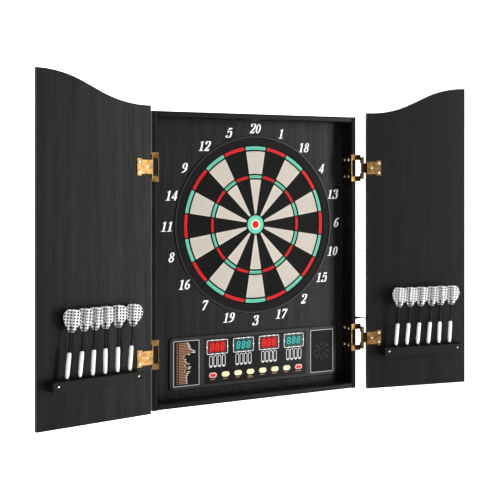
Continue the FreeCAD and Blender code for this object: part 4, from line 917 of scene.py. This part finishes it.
def hinge_rivets():
    """The rivet on each hinge's small leaf, which the large leaf's window clears when the door is shut."""
    dome = [(BOSS_RADIUS * math.cos(turn), BOSS_HEIGHT * math.sin(turn)) for turn in
            [math.pi / 2 * step / 6 for step in range(6)]] + [(0, BOSS_HEIGHT)]
    boss = turned([(0, -BOSS_SUNK), (BOSS_RADIUS, -BOSS_SUNK), *dome])
    for name, side in SIDES.items():
        parts = []
        for up in (HINGE_UP, -HINGE_UP):
            spot = Vector((-side * (HINGE_EDGE + BOSS_REACH), DOOR_FACE + LEAF_THICKNESS, up))
            matrix = door_frame(name) @ Matrix.Translation(spot) @ Matrix.Rotation(-math.pi / 2, 4, "X")
            parts.append(moved(boss, matrix @ Matrix.Scale(1 / MM, 4)))
        # The bosses are in steel, much brighter than the brass leaves, as a painted highlight at the middle
        # of each small leaf.
        piece(name + "_hinge_bosses", name + "_door", "steel", STEEL, *gathered(parts), smooth=True)


# ---------------- darts
DARTS_PER_DOOR = 6
DART_PITCH = 27.0
HOLDER_MIDDLE = 128.5
HOLDER_TOP = -210.5
DART_STANDOFF = 18.5
FLIGHT_TURNS = (-28.0, -32.0, -19.0, -19.0, -19.0, -22.0)
BARREL_LOW, BARREL_HIGH, BARREL_RADIUS = 4.0, 52.0, 4.2
SHAFT_END = 102.0
FLIGHT_LOW, FLIGHT_TALL, FLIGHT_RADIUS = 90.0, 43.0, 17.0
FILM_THICKNESS, VANE_ROOT = 0.44, 0.35
DOTS_ASIDE = 40.0


def dart_frame(name, index):
    """The matrix from a dart's own metres, its axis along Z, to where it leans in its hole."""
    place = door_frame(name)
    reach = HINGE_EDGE + HOLDER_MIDDLE + (index - (DARTS_PER_DOOR - 1) / 2) * DART_PITCH
    spot = place @ Vector((-SIDES[name] * reach, DOOR_FACE + DART_STANDOFF, HOLDER_TOP))
    turn = place.to_quaternion()
    axis = turn.inverted() @ Vector(JOINTS["%s_dart_%d_lift" % (name, index + 1)]["axis"])
    lean = Matrix.Rotation(math.atan2(axis.x, axis.z), 4, "Y")
    return Matrix.Translation(spot) @ turn.to_matrix().to_4x4() @ lean


def barrel_profile():
    """A slim barrel with rounded ends and a few shallow rings for grip."""
    profile = [(0, BARREL_LOW), (2.6, BARREL_LOW), (3.1, 5.0), (3.6, 7.0), (4.0, 10.0), (BARREL_RADIUS, 14.0)]
    for step in range(4):
        up = 17.0 + 2.2 * step
        profile += [(BARREL_RADIUS, up), (4.05, up + 0.25), (4.05, up + 0.65), (BARREL_RADIUS, up + 0.9)]
    return profile + [(BARREL_RADIUS, 44.0), (4.1, 47.5), (3.8, 50.0), (3.3, 51.5), (2.6, BARREL_HIGH),
                      (0, BARREL_HIGH)]


def vane_outline():
    """The outer edge of one vane, from its foot on the shaft to its top, as (radius, height)."""
    low, tall, radius = FLIGHT_LOW, FLIGHT_TALL, FLIGHT_RADIUS
    corners = [(4.5, low), (radius * 0.93, low + tall * 0.44), (radius * 1.06, low + tall * 0.66),
               (radius * 0.86, low + tall * 0.9), (radius * 0.45, low + tall * 0.985),
               (VANE_ROOT, low + tall)]
    return corners[:1] + eased(corners[1:], 2)


def flight_mesh(turn):
    """Four vanes of thin film folded from one sheet, and where each point lies on it, in metres."""
    half = FILM_THICKNESS / 2
    vanes, spread = [], []
    for quarter in range(4):
        angle = math.radians(turn + 90 * quarter)
        out = Vector((math.cos(angle), math.sin(angle), 0))
        aside = Vector((-math.sin(angle), math.cos(angle), 0))
        rings = []
        for radius, up in vane_outline():
            corners = ((VANE_ROOT, -half), (radius, -half), (radius, half), (VANE_ROOT, half))
            rings.append([(out * reach + aside * side + Vector((0, 0, up))) * MM for reach, side in corners])
            spread += [((reach + DOTS_ASIDE) * MM, (up - FLIGHT_LOW) * MM) for reach, _ in corners]
        vanes.append(lofted(rings))
    return gathered(vanes), spread


def add_uv(thing, spread):
    """The UV layer that the flights' dots follow, from one place for each vertex."""
    layer = thing.data.uv_layers.new(name="vane")
    for loop in thing.data.loops:
        layer.data[loop.index].uv = spread[loop.vertex_index]


def darts():
    """Each dart: nylon tip, white barrel, black shaft and dotted flight."""
    tip = turned([(0, -24.0), (0.35, -24.0), (0.8, -18.0), (1.3, -10.0), (2.2, -5.0), (2.3, 0.75),
                  (5.9, 0.75), (6.2, 1.1), (6.2, 1.8), (5.9, 2.15), (2.3, 2.15), (2.3, BARREL_LOW),
                  (0, BARREL_LOW)], 20)
    shaft = turned([(0, BARREL_HIGH), (2.7, BARREL_HIGH), (2.9, 52.5), (2.9, 55.5), (2.2, 58.5), (1.9, 62.0),
                    (1.9, 80.0), (2.2, 84.0), (2.2, SHAFT_END - 0.6), (1.8, SHAFT_END), (0, SHAFT_END)], 20)
    parts = (("tip", tip, BLACK_NYLON), ("barrel", turned(barrel_profile()), WHITE_BARREL),
             ("shaft", shaft, BLACK_NYLON))
    for name in SIDES:
        for index in range(DARTS_PER_DOOR):
            label = "%s_dart_%d" % (name, index + 1)
            matrix = dart_frame(name, index)
            for word, part, made in parts:
                piece(label + "_" + word, label, "dart_parts", made, *moved(part, matrix), smooth=True)
            flight, spread = flight_mesh(FLIGHT_TURNS[index])
            thing = piece(label + "_flight", label, "dart_parts", DOTTED_FLIGHT, *moved(flight, matrix))
            add_uv(thing, spread)
            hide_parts(label)


# ---------------- power lead
JACK_DEPTH = -28.0
LEAD_ROUTE = ((290.0, -155.5), (302.0, -157.0), (316.0, -161.5), (331.0, -168.0), (345.0, -177.5),
              (355.5, -189.5), (361.0, -201.0), (362.5, -212.5))
COIL_CENTRE = (347.0, -225.0)
COIL_ENDS = (20.0, -53.0)
LEAD_END = ((356.7, -4.1, -243.3), (354.1, -3.0, -245.4), (347.0, 0.0, -250.7), (347.0, 0.0, -257.0))
CORD_LENGTH, CORD_DIAMETER = 1.5, 2.6
COIL_PITCH = 2.62
COIL_LAYERS = (19.4, 16.8, 14.2, 11.6)
POINTS_A_TURN = 16
STEADY_PART, CHANGE_PART = 0.7, 0.3
TIE_ASIDE, TIE_HALF = 15.5, 1.8
ADAPTER_SIZE, CORE_HALF = (28.0, 42.0, 50.0), 0.8
GRIP_BARS, GRIP_PITCH = 5, 4.0
RELIEF_RIBS, RELIEF_RADIUS, RELIEF_FOOT, RIB_PITCH = 3, 4.6, -0.8, 2.4
PRONG_APART, PRONG_THICK = 12.7, 1.5


def coil_cells():
    """Radius and depth of each turn: pancakes wound in and out, one behind the other."""
    rows = [JACK_DEPTH + COIL_PITCH * step for step in (1.5, 0.5, -0.5, -1.5)]
    cells = []
    for index, depth in enumerate(rows):
        layers = COIL_LAYERS if index % 2 == 0 else COIL_LAYERS[::-1]
        cells += [(radius, depth) for radius in layers]
    del cells[-len(COIL_LAYERS)]  # The last row leaves out its innermost turn.
    return cells


def coil_points():
    """Control points of the coil's turns, clockwise from where the lead comes in at the right."""
    cells = coil_cells()
    start, end = [math.radians(angle) for angle in COIL_ENDS]
    total = (len(cells) - 1) * 2 * math.pi + (start - end)
    swell = 1 / math.cos(math.pi / POINTS_A_TURN) ** 2
    count = int(total / (2 * math.pi) * POINTS_A_TURN)
    points = []
    for step in range(count + 1):
        gone = total * step / count
        turns, part = divmod(gone / (2 * math.pi), 1.0)
        here = cells[min(int(turns), len(cells) - 1)]
        after = cells[min(int(turns) + 1, len(cells) - 1)]
        share = max(0.0, (part - STEADY_PART) / CHANGE_PART)
        share = share * share * (3 - 2 * share)
        radius = (here[0] + (after[0] - here[0]) * share) * swell
        depth = here[1] + (after[1] - here[1]) * share
        angle = start - gone
        points.append((COIL_CENTRE[0] + radius * math.cos(angle), depth,
                       COIL_CENTRE[1] + radius * math.sin(angle)))
    return points


def power_lead():
    """The thin lead: out of its plug, down behind the right door, and tied in a coil."""
    data = bpy.data.curves.new("power_lead", "CURVE")
    data.dimensions = "3D"
    data.bevel_depth = CORD_DIAMETER / 2 * MM
    data.bevel_resolution = 3
    data.resolution_u = 6
    data.use_fill_caps = True
    points = [(across, JACK_DEPTH, up) for across, up in LEAD_ROUTE] + coil_points()
    points += [(across, JACK_DEPTH + depth, up) for across, depth, up in LEAD_END]
    spline = data.splines.new("NURBS")
    spline.points.add(len(points) - 1)
    for spot, point in zip(spline.points, points):
        spot.co = (*(value * MM for value in point), 1.0)
    spline.order_u = 3
    spline.use_endpoint_u = True
    data.materials.append(CORD_GREY)
    lead = placed("power_lead", data)
    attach(lead, "cabinet")
    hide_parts("cord_lead", "cord_coil")
    return lead


def cord_tie():
    """A flat tie round the coil's bundle, on the side away from the lead."""
    half = 2 * COIL_PITCH + 0.2
    band = frame_line(0.0, 0.0, 2 * half + 2.0, 2 * half + 2.0, 2.6, 0.9)
    middle = Vector((COIL_CENTRE[0] - TIE_ASIDE, JACK_DEPTH, COIL_CENTRE[1])) * MM

    def place(across, height, deep):
        return middle + Vector((across * MM, deep * MM, height * MM))
    tie = plate([band], place, TIE_HALF, -TIE_HALF)
    return piece("cord_tie", "cabinet", "cord_black", BLACK_NYLON, *tie)


def power_adapter():
    """The plug-in transformer: two shells with a seam, side grips, a ribbed relief and two prongs."""
    low, high = [Vector(corner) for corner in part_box("power_adapter")]
    middle, deep = COIL_CENTRE[0] * MM, JACK_DEPTH * MM
    thick, wide, tall = ADAPTER_SIZE
    top = low.z + tall * MM
    centre = Vector((middle, deep, low.z + tall * MM / 2))

    def shell(side):
        """One half of the case, a rounded slab whose edge steps in at the seam."""
        sections = ((0.4, 0.5), (0.4, 0.0), (thick / 2 - 3.4, 0.0), (thick / 2 - 1.6, 0.5),
                    (thick / 2 - 0.5, 1.5), (thick / 2, 3.2))
        rings = []
        for across, inset in sections:
            ring = rounded(0.0, 0.0, wide - 2 * inset, tall - 2 * inset, 4.5 - inset)
            rings.append([centre + Vector((side * across, y, z)) * MM for y, z in ring])
        vertices, faces = lofted(rings)
        return vertices, [face[::side] for face in faces]
    core = plate([(rounded(0.0, 0.0, wide - 1.4, tall - 1.4, 4.0), [])],
                 lambda y, x, z: centre + Vector((x, y, z)) * MM, CORE_HALF, -CORE_HALF)
    grips = []
    for end in (-1, 1):
        for step in range(GRIP_BARS):
            bar = rounded(0.0, GRIP_PITCH * (step - (GRIP_BARS - 1) / 2), 16.0, 1.4, 0.6)
            face = (deep + end * (wide / 2 - 0.1) * MM, deep + end * (wide / 2 + 0.5) * MM)
            grips.append(plate([(bar, [])], lambda x, y, z: Vector((middle + x * MM, y, centre.z + z * MM)),
                               *face[::end]))
    profile, height = [(0, RELIEF_FOOT), (RELIEF_RADIUS, RELIEF_FOOT)], RELIEF_FOOT
    for step in range(RELIEF_RIBS):
        radius = RELIEF_RADIUS - 0.6 * step
        profile += [(radius, height + 1.6), (radius - 0.9, height + 1.7), (radius - 0.9, height + 2.3),
                    (radius - 0.35, height + RIB_PITCH)]
        height += RIB_PITCH
    profile += [(2.4, height + 0.6), (0, height + 0.6)]
    relief = moved(turned(profile, 24), Matrix.Translation((middle, deep, top)))
    case = piece("adapter_case", "cabinet", "cord_black", CORD_BLACK,
                 *gathered([shell(1), shell(-1), core, relief, *grips]))
    blades = []
    for rise in (PRONG_APART / 2, -PRONG_APART / 2):
        outline = [(0.0, -3.15), (15.4, -3.15), (17.0, -1.9), (17.0, 1.9), (15.4, 3.15), (0.0, 3.15)]
        blades.append(plate(
            [(outline, [circle(12.5, 0.0, 1.55, 16)])],
            lambda x, z, y: Vector((middle + (thick / 2 + x) * MM, deep + y * MM, centre.z + z * MM)),
            rise + PRONG_THICK / 2, rise - PRONG_THICK / 2))
    prongs = piece("adapter_prongs", "cabinet", "steel", STEEL, *gathered(blades))
    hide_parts("power_adapter")
    assert high.z > top
    return case, prongs


# ---------------- studio
CAMERA_PLACE, CAMERA_HEADING = (-1.0286, -1.9754, 0.1691), -27.877
CAMERA_LENS, CAMERA_SHIFT = 72.42, -0.1445
FLOOR_LEVEL, FLOOR_HALF_WIDTH = -1.66, 9.0
FLOOR_FRONT, FLOOR_BACK, FLOOR_TOP = -7.0, 4.2, 6.0
FLOOR_CURVE, CURVE_STEPS = 1.2, 12


def camera():
    """Beside the cabinet's left, level with the target's middle, as a person stands to look at it."""
    data = bpy.data.cameras.new("camera")
    data.sensor_width = 36.0
    data.lens = CAMERA_LENS
    data.shift_y = CAMERA_SHIFT
    view = placed("camera", data)
    view.location = CAMERA_PLACE
    view.rotation_euler = (math.radians(90), 0.0, math.radians(CAMERA_HEADING))
    bpy.context.scene.camera = view


def area_light(name, place, aim, wide, tall, power):
    """A rectangular lamp that looks from a place at an aim."""
    data = bpy.data.lights.new(name, "AREA")
    data.shape = "RECTANGLE"
    data.size = wide
    data.size_y = tall
    data.energy = power
    lamp = placed(name, data)
    lamp.location = place
    lamp.rotation_euler = (Vector(aim) - Vector(place)).to_track_quat("-Z", "Y").to_euler()


def studio():
    """A pale floor that curves up behind, a white surround and soft lamps."""
    scene = bpy.context.scene
    scene.view_settings.view_transform = "Standard"
    world = bpy.data.worlds.new("surround")
    scene.world = world
    world.use_nodes = True
    sky = world.node_tree.nodes["Background"].inputs
    sky["Color"].default_value = (1.0, 1.0, 1.0, 1.0)
    sky["Strength"].default_value = 0.45

    profile = [(FLOOR_FRONT, FLOOR_LEVEL), (FLOOR_BACK, FLOOR_LEVEL)]
    for turn in [math.pi / 2 * step / CURVE_STEPS for step in range(1, CURVE_STEPS + 1)]:
        profile.append((FLOOR_BACK + FLOOR_CURVE * math.sin(turn),
                        FLOOR_LEVEL + FLOOR_CURVE * (1 - math.cos(turn))))
    profile.append((FLOOR_BACK + FLOOR_CURVE, FLOOR_TOP))
    vertices = [Vector((side * FLOOR_HALF_WIDTH, back, up)) for back, up in profile for side in (-1, 1)]
    faces = [(2 * step, 2 * step + 1, 2 * step + 3, 2 * step + 2) for step in range(len(profile) - 1)]
    mesh = bpy.data.meshes.new("floor")
    mesh.from_pydata(vertices, [], faces)
    mesh.shade_smooth()
    pale = material("pale_floor", (0.9, 0.9, 0.9), 0.9, Emission_Color=(1, 1, 1, 1), Emission_Strength=0.5)
    mesh.materials.append(pale)
    sweep = placed("floor", mesh)

    area_light("key", (2.35, -2.5, 0.25), (0.0, 0.0, 0.0), 1.0, 2.8, 131.0)
    area_light("overhead", (0.0, -1.0, 2.6), (0.0, 0.0, 0.0), 1.8, 1.8, 20.0)
    area_light("backdrop", (0.0, 2.0, 2.6), (0.0, 5.0, -1.0), 2.0, 2.0, 400.0)


camera()
studio()
lead = power_lead()
tie = cord_tie()
adapter, prongs = power_adapter()
target_keys()
bull_keys()
catch_ring_mesh()
sector_numbers()
display_faces()
panel_print()
button_labels()
button_details()
game_card()
window_trims()
grille_lips()
hinge_rivets()
darts()
